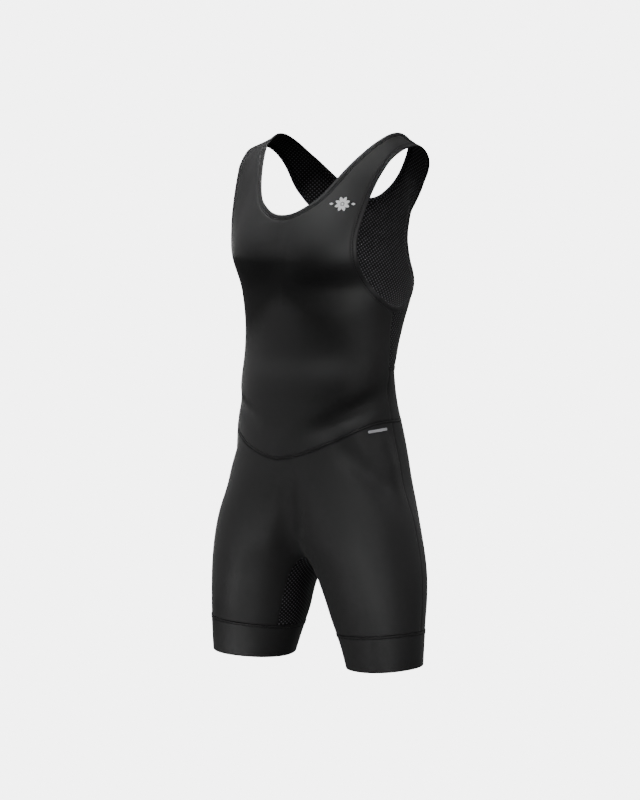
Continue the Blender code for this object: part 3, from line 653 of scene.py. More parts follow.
# ------------------------------------------------------------------- the seams
def seams():
    """Every seam and edge of the left half, as lines of points on the form."""
    s = {}
    neck = smooth((mirrored(np.array(NECK_FRONT[1], float)),) + NECK_FRONT
                  + (NECK_SHOULDER,) + NECK_BACK
                  + (mirrored(np.array(NECK_BACK[-2], float)),))
    top = (len(NECK_FRONT) + 1) * LINE_STEPS
    last = top + len(NECK_BACK) * LINE_STEPS
    s["neck_front"] = on_form(even(neck[LINE_STEPS:top + 1], NECK_ROWS))
    s["neck_back"] = on_form(even(neck[top:last + 1], ARM_ROWS + SIDE_ROWS - NET_CENTRE_ROWS))
    loop = (ARM_SHOULDER,) + ARM_FRONT + (UNDERARM,) + ARM_BACK
    arm = smooth(loop[-1:] + loop + loop[:2])
    under = (len(ARM_FRONT) + 2) * LINE_STEPS
    end = (len(loop) + 1) * LINE_STEPS
    s["arm_front"] = on_form(even(arm[LINE_STEPS:under + 1], ARM_ROWS))
    s["arm_back"] = on_form(even(arm[under:end + 1], ARM_ROWS))
    side = np.array(SIDE_SEAM, float)
    z = np.linspace(side[0, 0], side[-1, 0], SIDE_POINTS)
    y = np.interp(z, side[:, 0], side[:, 1])
    mean = np.ones(2 * SIDE_SMOOTH + 1) / (2 * SIDE_SMOOTH + 1)
    y = np.convolve(np.pad(y, SIDE_SMOOTH, mode="edge"), mean, "valid")
    s["side"] = on_form(np.stack([ring_sizes(z)[0], y, z], -1))
    return s


def cut(line, low, high, count):
    """Part of a line between two heights, in equal steps."""
    first, last = np.interp([low, high], line[:, 2], lengths(line))
    return on_form(along_line(line, np.linspace(first, last, count + 1)))


def down_centre(sign, high, low, count):
    """Centre line of the front (-1) or back (1) between two heights, in equal steps."""
    z = np.linspace(high, low, CENTRE_POINTS)
    middle = ring_sizes(z)[2]
    start = np.stack([0 * z, middle, z], -1)
    aim = np.stack([0 * z, sign + 0 * z, 0 * z], -1)
    return even(shoot(start, aim), count)


def dipped(height, dip):
    """Height of a seam round the torso, by share of the half width: lowest at the centre."""
    return lambda share: height - dip * (1 - share ** WAIST_CURVE)


def torso_seam(height, corner, behind):
    """Seam from the centre line to a corner on the side seam."""
    middle = ring_sizes(corner[2:3])[2][0]
    angle = np.arctan2(corner[0], middle - corner[1])
    line = round_torso(np.pi if behind else 0.0, angle, ACROSS, height)
    line[0, 0] = 0.0
    line[-1] = corner
    return line


def main_lines():
    """All lines the pieces are cut between, each shared by the pieces that meet there."""
    s = seams()
    neck = np.concatenate([s["neck_front"], s["neck_back"][1:]])
    before, after = mirrored(neck[1:2]), mirrored(neck[-2:-1])
    s["neck"], s["neck_in"] = neck, -sideways(neck, before, after)
    arm = np.concatenate([s["arm_front"], s["arm_back"][1:]])
    s["arm"] = arm
    s["arm_in"] = -sideways(arm, arm[-2:-1], arm[1:2])
    inset = BINDING_WIDTH + SEAM_GAP / 2
    neck_seam = on_form(neck + s["neck_in"] * inset)
    arm_seam = on_form(arm + s["arm_in"] * inset)
    s["neck_seam_front"] = neck_seam[:NECK_ROWS + 1]
    s["neck_seam_back"] = neck_seam[NECK_ROWS:][::-1]
    s["arm_seam_front"] = arm_seam[:ARM_ROWS + 1][::-1]
    s["arm_seam_back"] = arm_seam[ARM_ROWS:]
    s["underarm"] = arm_seam[ARM_ROWS]
    t = np.linspace(0, 1, ACROSS + 1)[:, None]
    s["shoulder"] = on_form((1 - t) * neck_seam[NECK_ROWS] + t * arm_seam[0])
    s["shoulder"][0], s["shoulder"][-1] = neck_seam[NECK_ROWS], arm_seam[0]
    s["side_waist"] = cut(s["side"], WAIST_Z, NET_SEAM_Z, WAIST_ROWS)
    s["side_net"] = cut(s["side"], NET_SEAM_Z, s["underarm"][2], SIDE_ROWS)
    s["side_net"][-1] = s["underarm"]
    for name, height, dip, corner, behind in (
            ("waist_front", WAIST_Z, WAIST_DIP_FRONT, 0, False),
            ("waist_back", WAIST_Z, WAIST_DIP_BACK, 0, True),
            ("net", NET_SEAM_Z, NET_SEAM_DIP, -1, True)):
        s[name] = torso_seam(dipped(height, dip), s["side_waist"][corner], behind)
    leg_lines(s)
    return s


def leg_lines(s):
    """Adds the lines of the shorts, gusset and leg bands."""
    for name, rows in (("front", GUSSET_FRONT), ("back", GUSSET_BACK)):
        line = smooth((mirrored(np.array(rows[1], float)),) + rows)[LINE_STEPS:]
        line = on_form(even(line, LEG_ROWS))
        angle = leg_angle(line[-1])
        line[-1] = leg_ring(BAND_TOP, np.array([angle]))[0]
        line[0, 0] = 0.0
        s["gusset_" + name] = line
        s["angle_" + name] = angle
    away = np.abs(s["side"][:, 2] - BAND_TOP[0] - BAND_SIDE_UP)
    s["angle_side"] = leg_angle(s["side"][np.argmin(away)])
    ends = (("ring_front", s["angle_front"], s["angle_side"], ACROSS),
            ("ring_back", s["angle_side"], s["angle_back"], ACROSS),
            ("ring_gusset", s["angle_back"], s["angle_front"], GUSSET_ACROSS))
    for name, first, last, count in ends:
        last = last + 2 * np.pi if last < first else last
        s[name] = even(leg_ring(BAND_TOP, np.linspace(first, last, LEG_POINTS)), count)
    s["ring_front"][0], s["ring_gusset"][0] = s["gusset_front"][-1], s["gusset_back"][-1]
    s["ring_front"][-1], s["ring_back"][-1] = s["ring_back"][0], s["gusset_back"][-1]
    s["ring_gusset"][-1] = s["gusset_front"][-1]
    corner = s["ring_front"][-1]
    s["side_leg"] = cut(s["side"], corner[2], WAIST_Z, HIP_ROWS + LEG_ROWS)
    s["side_leg"][0], s["side_leg"][-1] = corner, s["side_waist"][0]
    s["front_centre"] = down_centre(-1, s["waist_front"][0, 2], s["neck_seam_front"][0, 2],
                                    WAIST_ROWS + SIDE_ROWS + CENTRE_EXTRA)
    s["fly"] = down_centre(-1, s["gusset_front"][0, 2], s["waist_front"][0, 2], HIP_ROWS)
    s["seat"] = down_centre(1, s["gusset_back"][0, 2], s["waist_back"][0, 2], HIP_ROWS)


# ------------------------------------------------------------------ the pieces
def toward(line, inside):
    """Shift of a line along the form by half a seam's gap, to the side where `inside`
    lies. A line with an end on the centre plane goes on there as its mirror image."""
    start = mirrored(line[1:2]) if abs(line[0, 0]) < ON_CENTRE else None
    end = mirrored(line[-2:-1]) if abs(line[-1, 0]) < ON_CENTRE else None
    shift = sideways(line, start, end)
    middle = len(line) // 2
    sign = np.sign((shift[middle] * (inside - line[middle])).sum())
    return shift * sign * (SEAM_GAP / 2)


def piece(inside, lines, sewn):
    """Half piece between four lines, round a point inside it.

    `sewn` says how many points of each line lie on a seam, from its first one, and so
    leave half of the seam's gap: none of them, some, or all (None).
    """
    shifts = [np.zeros(line.shape) for line in lines]
    for line, shift, count in zip(lines, shifts, sewn):
        if count != 0:
            shift[:count] = toward(line[:count], np.array(inside, float))
    return patch(*trimmed(lines, shifts))


def front_half(s):
    """Left half of the front: centre line and neck against side seam and armhole."""
    left = np.concatenate([s["front_centre"], s["neck_seam_front"][1:]])
    left[len(s["front_centre"]) - 1] = s["neck_seam_front"][0]
    side = np.concatenate([s["side_waist"], s["side_net"][1:]])
    right = np.concatenate([side, s["arm_seam_front"][1:]])
    return piece((90, -95, -330), (left, right, s["waist_front"], s["shoulder"]),
                 (0, len(side), None, None))


def net_half(s):
    """Left half of the upper back, from the net seam to the shoulder."""
    centre = down_centre(1, s["net"][0, 2], s["neck_seam_back"][0, 2], NET_CENTRE_ROWS)
    centre[-1] = s["neck_seam_back"][0]
    left = np.concatenate([centre, s["neck_seam_back"][1:]])
    right = np.concatenate([s["side_net"], s["arm_seam_back"][1:]])
    return piece((90, 95, -320), (left, right, s["net"], s["shoulder"]),
                 (0, len(s["side_net"]), None, None))


def back_waist_half(s):
    """Left half of the lower back, between the waist seam and the net."""
    left = down_centre(1, s["waist_back"][0, 2], s["net"][0, 2], WAIST_ROWS)
    return piece((90, 95, -400), (left, s["side_waist"], s["waist_back"], s["net"]),
                 (0, None, None, None))


def shorts_half(s, name, sign):
    """Left half of the shorts, front (sign -1) or back (sign 1)."""
    inseam = s["gusset_" + name][::-1]
    centre = s["fly"] if sign < 0 else s["seat"]
    left = np.concatenate([inseam, centre[1:]])
    bottom = s["ring_front"] if sign < 0 else s["ring_back"][::-1]
    return piece((130, sign * 100, -620), (left, s["side_leg"], bottom, s["waist_" + name]),
                 (len(inseam), None, None, None))


def gusset_half(s):
    """Left half of the gusset, from the centre plane down the inner thigh."""
    front, back = s["gusset_front"], s["gusset_back"]
    tip, tail = front[0], back[0]
    origin = np.array([0.0, (tip[1] + tail[1]) / 2, (tip[2] + tail[2]) / 2 + CROTCH_UP])
    first = np.arctan2(tip[2] - origin[2], tip[1] - origin[1]) + 2 * np.pi
    last = np.arctan2(tail[2] - origin[2], tail[1] - origin[1]) + 2 * np.pi
    angle = np.linspace(first, last, CROTCH_POINTS)
    aim = np.stack([0 * angle, np.cos(angle), np.sin(angle)], -1)
    crotch = even(shoot(origin + 0 * aim, aim), GUSSET_ACROSS)
    crotch[0], crotch[-1] = tip, tail
    return piece((45, -4, -740), (front, back, crotch, s["ring_gusset"][::-1]),
                 (None, None, 0, None))


# ------------------------------------------------------------- cloth laid flat
def laid_flat(grid, base=None):
    """Flat place (out, up) of each point of a half piece, in mm.

    It starts from lengths along the rows and columns. Then each quad, turned but not
    stretched, lays its four corners where they fit best, and every point moves FLAT_STEP
    of the way to the mean of its quads, FLAT_ROUNDS times. Points of the centre line stay
    on out = 0. Flat places are complex numbers here.
    """
    main = grid[::FINE, ::FINE]
    row_steps = np.linalg.norm(np.diff(main, axis=1), axis=2)
    column_steps = np.linalg.norm(np.diff(main, axis=0), axis=2)
    out = np.abs(main[:, :1, 0]) + np.pad(np.cumsum(row_steps, 1), ((0, 0), (1, 0)))
    foot = main[:1, :, 2] if base is None else base + 0 * main[:1, :, 2]
    up = foot + np.pad(np.cumsum(column_steps, 0), ((1, 0), (0, 0)))
    flat = out + 1j * up
    centred = np.abs(main[..., 0]) < ON_CENTRE
    low, high = slice(0, -1), slice(1, None)
    corners = ((low, low), (low, high), (high, high), (high, low))
    quad = np.stack([main[at] for at in corners])
    quad = quad - quad.mean(0)
    across = quad[1] + quad[2]
    across /= np.linalg.norm(across, axis=-1, keepdims=True)
    along = quad[2] + quad[3]
    along = along - (along * across).sum(-1, keepdims=True) * across
    along /= np.linalg.norm(along, axis=-1, keepdims=True)
    real = (quad * across).sum(-1) + 1j * (quad * along).sum(-1)
    count = np.zeros(flat.shape)
    for at in corners:
        count[at] += 1
    for _ in range(FLAT_ROUNDS):
        now = np.stack([flat[at] for at in corners])
        middle = now.mean(0)
        turn = (real.conj() * (now - middle)).sum(0)
        want = middle + real * turn / np.abs(turn)
        total = np.zeros(flat.shape, complex)
        for at, part in zip(corners, want):
            total[at] += part
        flat = flat + FLAT_STEP * (total / count - flat)
        flat = np.where(centred, 1j * flat.imag, flat)
    flat = np.stack([flat.real, flat.imag], -1)
    return spread(spread(flat, FINE, 0), FINE, 1)


def sample(values, r, c):
    """Values of a grid at places between its lines, in straight steps."""
    r0 = np.clip(r.astype(int), 0, values.shape[0] - 2)
    c0 = np.clip(c.astype(int), 0, values.shape[1] - 2)
    y, x = (r - r0)[:, None], (c - c0)[:, None]
    return ((1 - y) * ((1 - x) * values[r0, c0] + x * values[r0, c0 + 1])
            + y * ((1 - x) * values[r0 + 1, c0] + x * values[r0 + 1, c0 + 1]))


def nearest(points, others):
    """For each point the number of the nearest other point, and its distance squared."""
    found = []
    for part in np.array_split(points, len(points) // AT_A_TIME + 1):
        square = ((part[:, None] - others) ** 2).sum(-1)
        found.append(np.stack([square.argmin(1), square.min(1)]))
    number, square = np.concatenate(found, 1)
    return number.astype(int), square


def located(flat, want):
    """Row and column of flat places: the nearest of every few grid points, then Newton
    steps of a few lines at most."""
    some = flat[::COARSE, ::COARSE]
    near = nearest(want, some.reshape(-1, 2))[0]
    r = (near // some.shape[1] * COARSE).astype(float)
    c = (near % some.shape[1] * COARSE).astype(float)
    by_row, by_column = np.gradient(flat, axis=(0, 1))
    for _ in range(NEWTON_STEPS):
        miss = sample(flat, r, c) - want
        a, b = sample(by_row, r, c), sample(by_column, r, c)
        size = a[:, 0] * b[:, 1] - a[:, 1] * b[:, 0]
        dr = (miss[:, 0] * b[:, 1] - miss[:, 1] * b[:, 0]) / size
        dc = (a[:, 0] * miss[:, 1] - a[:, 1] * miss[:, 0]) / size
        r = np.clip(r - np.clip(dr, -NEWTON_MOST, NEWTON_MOST), 0, flat.shape[0] - 1)
        c = np.clip(c - np.clip(dc, -NEWTON_MOST, NEWTON_MOST), 0, flat.shape[1] - 1)
    return r, c


# ----------------------------------------------------------------- cloth walls
def edged(grid):
    """Adds lines close to each edge of a grid, at real distances from it."""
    for axis in (0, 1):
        g = np.moveaxis(grid, axis, 0)
        ends = []
        for line, after in ((g[0], g[1]), (g[-1], g[-2])):
            step = np.linalg.norm((after - line)[:, :3], axis=1)[:, None]
            ends.append([line + (after - line) * np.minimum(far / step, share)
                         for far, share in EDGE_LINES])
        g = np.concatenate([g[:1], ends[0], g[1:-1], ends[1][::-1], g[-1:]])
        grid = np.moveaxis(g, 0, axis)
    return grid


def outline(grid):
    """The points round the edge of a grid, once round, starting at its first corner."""
    return np.concatenate([grid[0], grid[1:, -1], grid[-1, -2::-1], grid[-2:0:-1, 0]])


def sink(points, seam):
    """How far cloth sinks at a distance d from its sewn edges: EDGE_SINK times
    1 - (d / EDGE_REACH) squared, to the power EDGE_CURVE."""
    share = 1 - nearest(points, seam)[1] / EDGE_REACH ** 2
    return EDGE_SINK * np.maximum(share, 0) ** EDGE_CURVE


def both_halves(grid, flat):
    """A half piece and its mirror image, joined on the centre line, with flat places."""
    points, places = grid.reshape(-1, 3), flat.reshape(-1, 2)
    points = np.where(np.abs(points) < ON_CENTRE, 0, points)
    faces = quads(*grid.shape[:2])
    both = np.concatenate([points, mirrored(points)])
    places = np.concatenate([places, places * (-1, 1)])
    faces = np.concatenate([faces, faces[:, ::-1] + len(points)])
    _, first, number = np.unique(np.round(both, DIGITS) + 0.0, axis=0,
                                 return_index=True, return_inverse=True)
    return both[first], number.reshape(-1)[faces], places[first]


def shell(points, faces, flat, thickness, seam=None):
    """Closes a sheet into a wall: both sides half the thickness off the lifted form,
    the outer one sunk near the seam and the inner one a third as much, and rims between
    them."""
    normal = outward(points)
    corner = points[faces[:, :3]]
    across = np.cross(corner[:, 1] - corner[:, 0], corner[:, 2] - corner[:, 0])
    if (across * normal[faces[:, 0]]).sum() < 0:
        faces = faces[:, ::-1]
    middle = points + lift(points)[:, None] * normal
    low = 0 if seam is None else sink(points, seam)[:, None]
    outer = middle + normal * (thickness / 2 - low)
    inner = middle - normal * (thickness / 2 - low / 3)
    edges = np.concatenate([np.stack([faces[:, k], np.roll(faces, -1, 1)[:, k]], 1)
                            for k in range(faces.shape[1])])
    _, first, uses = np.unique(np.sort(edges, 1), axis=0, return_index=True,
                               return_counts=True)
    free, count = edges[first[uses == 1]], len(points)
    rims = np.stack([free[:, 1], free[:, 0], free[:, 0] + count, free[:, 1] + count], -1)
    return (np.concatenate([outer, inner]),
            [faces, faces[:, ::-1] + count, rims], np.concatenate([flat, flat]))


def whole_outline(grid, flat):
    """Edge of a half piece and its mirror image as one loop, and its flat places."""
    loop, places = outline(grid), outline(flat)
    centred = np.abs(loop[:, 0]) < ON_CENTRE
    turn = np.flatnonzero(centred & ~np.roll(centred, -1))[-1]
    loop, places = np.roll(loop, -turn, 0), np.roll(places, -turn, 0)
    last = np.flatnonzero(np.abs(loop[1:, 0]) < ON_CENTRE)[0] + 1
    loop, places = loop[:last + 1], places[:last + 1]
    return (np.concatenate([loop, mirrored(loop[-2:0:-1])]),
            np.concatenate([places, places[-2:0:-1] * (-1, 1)]))


def within(polygon, points):
    """Whether flat points lie in a polygon: an odd number of edges to their right."""
    a, b = polygon, np.roll(polygon, -1, 0)
    y = points[:, 1:2]
    crossing = (a[:, 1] > y) != (b[:, 1] > y)
    rise = np.where(b[:, 1] == a[:, 1], 1, b[:, 1] - a[:, 1])
    at = a[:, 0] + (y - a[:, 1]) / rise * (b[:, 0] - a[:, 0])
    return (crossing & (points[:, :1] < at)).sum(1) % 2 == 1


def hole_centres(low, high):
    """Centres of holes in staggered rows, each row half a pitch on, turned by NET_TURN."""
    reach = int(np.ceil(np.linalg.norm(high - low) / HOLE_ROW))
    j, i = np.mgrid[-reach:reach + 1, -reach:reach + 1].reshape(2, -1)
    at = np.stack([(i + 0.5 * (j % 2)) * HOLE_PITCH, j * HOLE_ROW], -1)
    cos, sin = np.cos(np.radians(NET_TURN)), np.sin(np.radians(NET_TURN))
    at = at @ np.array([[cos, sin], [-sin, cos]])
    return at[((at > low) & (at < high)).all(1)]


def hole_sizes(centres):
    """Holes open where the net is stretched, low on the back, and close in the straps."""
    t = np.clip((STRAP_FROM - centres[:, 1]) / STRAP_SPAN, 0, 1)
    return HOLE_SIZE * (STRAP_SHARE + (1 - STRAP_SHARE) * t * t * (3 - 2 * t))


def netting(grid, flat):
    """The whole net piece as a sheet of triangles with its holes left out.

    Holes and edge are laid out flat, joined by Delaunay triangles, and every point is
    then found on the half piece's grid, or its mirror image, and set on the form.
    """
    edge, edge_flat = whole_outline(grid, flat)
    centres = hole_centres(edge_flat.min(0) - 1, edge_flat.max(0) + 1)
    centres = centres[within(edge_flat, centres)]
    gap = np.sqrt(nearest(centres, edge_flat)[1])
    centres = centres[gap > HOLE_SIZE / 2 + HOLE_MARGIN]
    angle = (np.arange(HOLE_SIDES) + 0.5) * 2 * np.pi / HOLE_SIDES
    ring = np.stack([np.cos(angle), np.sin(angle)], -1) / 2
    rims = (centres[:, None] + hole_sizes(centres)[:, None, None] * ring).reshape(-1, 2)
    flat_all = np.concatenate([edge_flat, rims])
    n = len(edge_flat)
    loop = np.stack([np.arange(n), (np.arange(n) + 1) % n], 1)
    k = np.arange(len(rims))
    rim_loop = np.stack([k, k - k % HOLE_SIDES + (k + 1) % HOLE_SIDES], 1) + n
    made = delaunay_2d_cdt([Vector(p) for p in flat_all.tolist()],
                           np.concatenate([loop, rim_loop]).tolist(), [], 0, SAME_PLACE)
    faces = np.array([f for f in made[2] if len(f) == 3])
    origin = np.array([ids[0] for ids in made[3]])
    faces = origin[faces]
    of_hole = np.where(faces < n, -1 - np.arange(3), (faces - n) // HOLE_SIDES)
    filled = (of_hole[:, 0] == of_hole[:, 1]) & (of_hole[:, 0] == of_hole[:, 2])
    faces = faces[~filled]
    faces = faces[within(edge_flat, flat_all[faces].mean(1))]
    side = np.where(rims[:, 0] < 0, -1.0, 1.0)
    r, c = located(flat, rims * np.stack([side, 0 * side + 1], 1))
    inner = on_form(sample(grid, r, c), STEPS_NEARLY)
    inner[:, 0] *= side
    return np.concatenate([edge, inner]), faces, flat_all


# ------------------------------------------------------------ edgings and sewing
def ring_of(half):
    """A half line from centre to centre and its mirror image, as one closed line."""
    return np.concatenate([half, mirrored(half[-2:0:-1])])


def running(points, closed):
    """Distance along a line at each of its points, and its whole length."""
    steps = np.linalg.norm(np.roll(points, -1, 0) - points, axis=1)
    at = np.concatenate([[0], np.cumsum(steps)])
    return at[:len(points)], at[-1] if closed else at[-2]


def ribbon(points, across, profile, closed=True, waves=()):
    """A profile carried along a line on the form.

    Each row of the profile is a share of `across`, stepped along the form from the line,
    and a height off it. `waves` are (count, height, shift): sines that stir the top side.
    """
    profile = np.array(profile, float)
    q = on_form(points[:, None] + profile[:, 0, None] * across[:, None], STEPS_OFF_LINE)
    at, total = running(points, closed)
    height = profile[:, 1] + 0 * q[..., 0]
    for count, size, shift in waves:
        wave = size * np.sin(2 * np.pi * count * at / total + shift)
        height = height + np.where(profile[:, 1] > 0, wave[:, None], 0)
    q = q + (lift(q) + height)[..., None] * outward(q)
    rows, sides = q.shape[:2]
    faces = quads(rows, sides, True, closed)
    caps = [np.arange(sides)[None], np.arange(rows * sides)[None, :-sides - 1:-1]]
    scale = np.linalg.norm(across, axis=1).mean(), 1.0
    girth = lengths(profile * scale)
    flat = np.stack(np.broadcast_arrays(girth[None], at[:, None]), -1).reshape(-1, 2)
    return outside_out(q.reshape(-1, 3), [faces] if closed else [faces] + caps) + (flat,)


def outside_out(points, parts):
    """Turns the faces of a closed body outwards, by the sign of its volume."""
    total = 0.0
    for part in parts:
        a = points[part[:, 0]]
        for k in range(1, part.shape[1] - 1):
            b, c = points[part[:, k]], points[part[:, k + 1]]
            total += (a * np.cross(b, c)).sum()
    return points, [part[:, ::-1] if total < 0 else part for part in parts]


def stitches(points, across, shift, height, closed=True):
    """A row of short threads beside a line: each a bent rod of STITCH_SIDES sides, whose
    rings lie where STITCH_RINGS says."""
    line = on_form(points + shift * across, STEPS_OFF_LINE)
    line = np.concatenate([line, line[:1]]) if closed else line
    total = lengths(line)[-1]
    count = int(total / STITCH_PITCH)
    middle = (np.arange(count) + 0.5) * total / count
    here = on_form(along_line(line, middle), STEPS_NEARLY)
    ahead = along_line(line, np.minimum(middle + 1, total)) - along_line(line, middle - 1)
    normal = outward(here)
    ahead -= (ahead * normal).sum(1, keepdims=True) * normal
    ahead /= np.linalg.norm(ahead, axis=1, keepdims=True)
    aside = np.cross(normal, ahead)
    along, thick, rise = np.array(STITCH_RINGS).T
    along, thick = along * STITCH_LONG, thick * STITCH_THICK / 2
    turn = np.arange(STITCH_SIDES) * 2 * np.pi / STITCH_SIDES
    base = here + (lift(here) + height)[:, None] * normal
    rods = (base[:, None, None] + along[:, None, None] * ahead[:, None, None]
            + (thick[:, None] * np.cos(turn))[..., None] * aside[:, None, None]
            + (rise[:, None] + thick[:, None] * np.sin(turn))[..., None]
            * normal[:, None, None])
    rings = len(STITCH_RINGS)
    size = rings * STITCH_SIDES
    start = (np.arange(count) * size)[:, None, None]
    sides = quads(rings, STITCH_SIDES, True)
    caps = np.stack([np.arange(STITCH_SIDES)[::-1], np.arange(size - STITCH_SIDES, size)])
    flat = np.stack(np.broadcast_arrays(along[:, None], turn * STITCH_THICK / 2), -1)
    made = outside_out(rods.reshape(-1, 3), [(sides + start).reshape(-1, 4),
                                             (caps + start).reshape(-1, STITCH_SIDES)])
    return made + (np.tile(flat.reshape(-1, 2), (count, 1)),)


def joined(bodies):
    """Several bodies as one."""
    points, parts, flats, start = [], [], [], 0
    for p, faces, flat in bodies:
        points.append(p)
        flats.append(flat)
        parts += [part + start for part in faces]
        start += len(p)
    return np.concatenate(points), parts, np.concatenate(flats)


def printed(shapes, at, height):
    """Thin print on the cloth: flat grids laid on the form round a point, then raised.

    Across is level, towards the wearer's left, and up is square to it.
    """
    at = on_form(np.array([at], float))
    normal = outward(at)[0]
    level = np.cross([0, 0, 1.0], normal)
    level /= np.linalg.norm(level)
    up = np.cross(normal, level)
    bodies = []
    for shape in shapes:
        points = on_form(at[0] + shape[..., :1] * level + shape[..., 1:] * up)
        flat = shape.reshape(-1, 2)
        sheet = points.reshape(-1, 3), quads(*shape.shape[:2])
        bodies.append(shell(*sheet, flat, PRINT_THICK))
    points, parts, flat = joined(bodies)
    return points + height * outward(on_form(points, STEPS_NEARLY)), parts, flat


def turned(x, y, turn):
    """Flat places turned by an angle."""
    cos, sin = np.cos(turn), np.sin(turn)
    return np.stack([x * cos - y * sin, x * sin + y * cos], -1)


def leaf(start, length, width, turn, power=0.75):
    """Grid of a pointed leaf: half width is half of width times sin(pi t) to a power, and
    a little more so that its tips have some breadth."""
    t = np.linspace(0, 1, LEAF_GRID[0])[:, None]
    s = np.linspace(-1, 1, LEAF_GRID[1])[None]
    across = s * (width / 2 * np.sin(np.pi * t) ** power + LEAF_TIP)
    return turned(start + length * t + 0 * s, across, turn)


def round_bar(length, width, turn):
    """Grid of a bar with round ends: half width is a circle's over each end."""
    x = (np.linspace(0, 1, BAR_GRID[0])[:, None] - 0.5) * length
    end = np.maximum(np.abs(x) - (length - width) / 2, 0) / (width / 2)
    half = width / 2 * np.sqrt(np.maximum(1 - end ** 2, BAR_TIP))
    return turned(x, np.linspace(-1, 1, BAR_GRID[1])[None] * half, turn)


# ------------------------------------------------------------------- materials
def linear(code):
    """Linear colour from an sRGB hex value: the power curve, with its straight foot."""
    c = np.array([int(code[k:k + 2], 16) for k in (1, 3, 5)]) / 255
    return (*np.where(c <= 0.04045, c / 12.92, ((c + 0.055) / 1.055) ** 2.4), 1.0)


def add_node(tree, kind, inputs=(), out=0, **settings):
    """Adds a node with its settings, and gives one of its outputs. Inputs, in order or by
    number or name, are values or sockets to link from."""
    made = tree.nodes.new("ShaderNode" + kind)
    for name, value in settings.items():
        setattr(made, name, value)
    inputs = inputs if isinstance(inputs, dict) else dict(enumerate(inputs))
    for name, value in inputs.items():
        if isinstance(value, bpy.types.NodeSocket):
            tree.links.new(value, made.inputs[name])
        else:
            made.inputs[name].default_value = value
    return made.outputs[out] if made.outputs else made


def cloth_surface(name, settings):
    """A new material, its tree and its shader with plain settings."""
    made = bpy.data.materials.new(name)
    made.use_nodes = True
    shader = made.node_tree.nodes["Principled BSDF"]
    for key, value in settings.items():
        shader.inputs[key].default_value = value
    return made, made.node_tree, shader


def uneven(tree, shader, dark, light, scale, low, high):
    """Cloudy colour and roughness: soft noise in object space between two values."""
    place = add_node(tree, "TexCoord", out="Object")
    cloud = add_node(tree, "TexNoise", {"Vector": place, "Scale": scale, "Detail": 3.0,
                                        "Roughness": 0.55})
    mixed = add_node(tree, "Mix", {0: cloud, 6: linear(dark), 7: linear(light)}, 2,
                     data_type="RGBA")
    tree.links.new(mixed, shader.inputs["Base Color"])
    rough = add_node(tree, "MapRange", (cloud, 0.3, 0.7, low, high))
    tree.links.new(rough, shader.inputs["Roughness"])
    return place, mixed


def bumped(tree, shader, height, depth, strength):
    """Height in 0..1 as relief `depth` metres deep."""
    bump = add_node(tree, "Bump", {"Height": height, "Distance": depth, "Strength": strength})
    tree.links.new(bump, shader.inputs["Normal"])


def across_and_along(tree):
    """The cloth's own flat place in millimetres: along its rows and up its columns."""
    place = add_node(tree, "UVMap", uv_map="UVMap")
    parts = add_node(tree, "SeparateXYZ", (place,)).node.outputs
    return [add_node(tree, "Math", (parts[k], 1 / MM), operation="MULTIPLY") for k in (0, 1)]


def knit_height(tree):
    """Knit loops: round columns a wale wide, each crossed by waves that bend to a V.

    With c = |sin(pi u / WALE)|, height is c to the power LOOP_ROUND times
    1/2 + LOOP_HEIGHT sin(2 pi v / COURSE - LOOP_BEND c).
    """
    u, v = across_and_along(tree)
    turn = add_node(tree, "Math", (u, math.pi / WALE), operation="MULTIPLY")
    turn = add_node(tree, "Math", (turn,), operation="SINE")
    column = add_node(tree, "Math", (turn,), operation="ABSOLUTE")
    bend = add_node(tree, "Math", (column, -LOOP_BEND), operation="MULTIPLY")
    wave = add_node(tree, "Math", (v, 2 * math.pi / COURSE), operation="MULTIPLY")
    wave = add_node(tree, "Math", (wave, bend), operation="ADD")
    wave = add_node(tree, "Math", (wave,), operation="SINE")
    loops = add_node(tree, "Math", (wave, LOOP_HEIGHT, 0.5), operation="MULTIPLY_ADD")
    column = add_node(tree, "Math", (column, LOOP_ROUND), operation="POWER")
    return add_node(tree, "Math", (column, loops), operation="MULTIPLY")


def ribs(tree, u_share, width):
    """Slanting waves from 0 to 1: 1/2 + 1/2 sin(2 pi (u_share u + v) / width)."""
    u, v = across_and_along(tree)
    slant = add_node(tree, "Math", (u, u_share, v), operation="MULTIPLY_ADD")
    wave = add_node(tree, "Math", (slant, 2 * math.pi / width), operation="MULTIPLY")
    wave = add_node(tree, "Math", (wave,), operation="SINE")
    return add_node(tree, "Math", (wave, 0.5, 0.5), operation="MULTIPLY_ADD")


def knit_jersey(name, light, cloud, rough):
    """Knitted cloth, dyed black, with the relief of its loops."""
    made, tree, shader = cloth_surface(name, {
        "IOR": 1.5, "Sheen Weight": 0.12, "Sheen Roughness": 0.4, "Specular IOR Level": 0.5})
    uneven(tree, shader, "#1b1b1c", light, cloud, 0.56, rough)
    bumped(tree, shader, knit_height(tree), 0.00012, 0.35)
    return made


def stretch_jersey():
    """Warp-knit polyamide and elastane, dyed black and pressed: even, with a soft low
    gloss on its round sides."""
    return knit_jersey("warp_knit_stretch_jersey", "#202021", 9.0, 0.63)


def folded_jersey():
    """The same jersey cut along its stretch and folded over the edge: a little more
    uneven, with wales running across the strip."""
    return knit_jersey("folded_jersey_edging", "#212122", 14.0, 0.64)


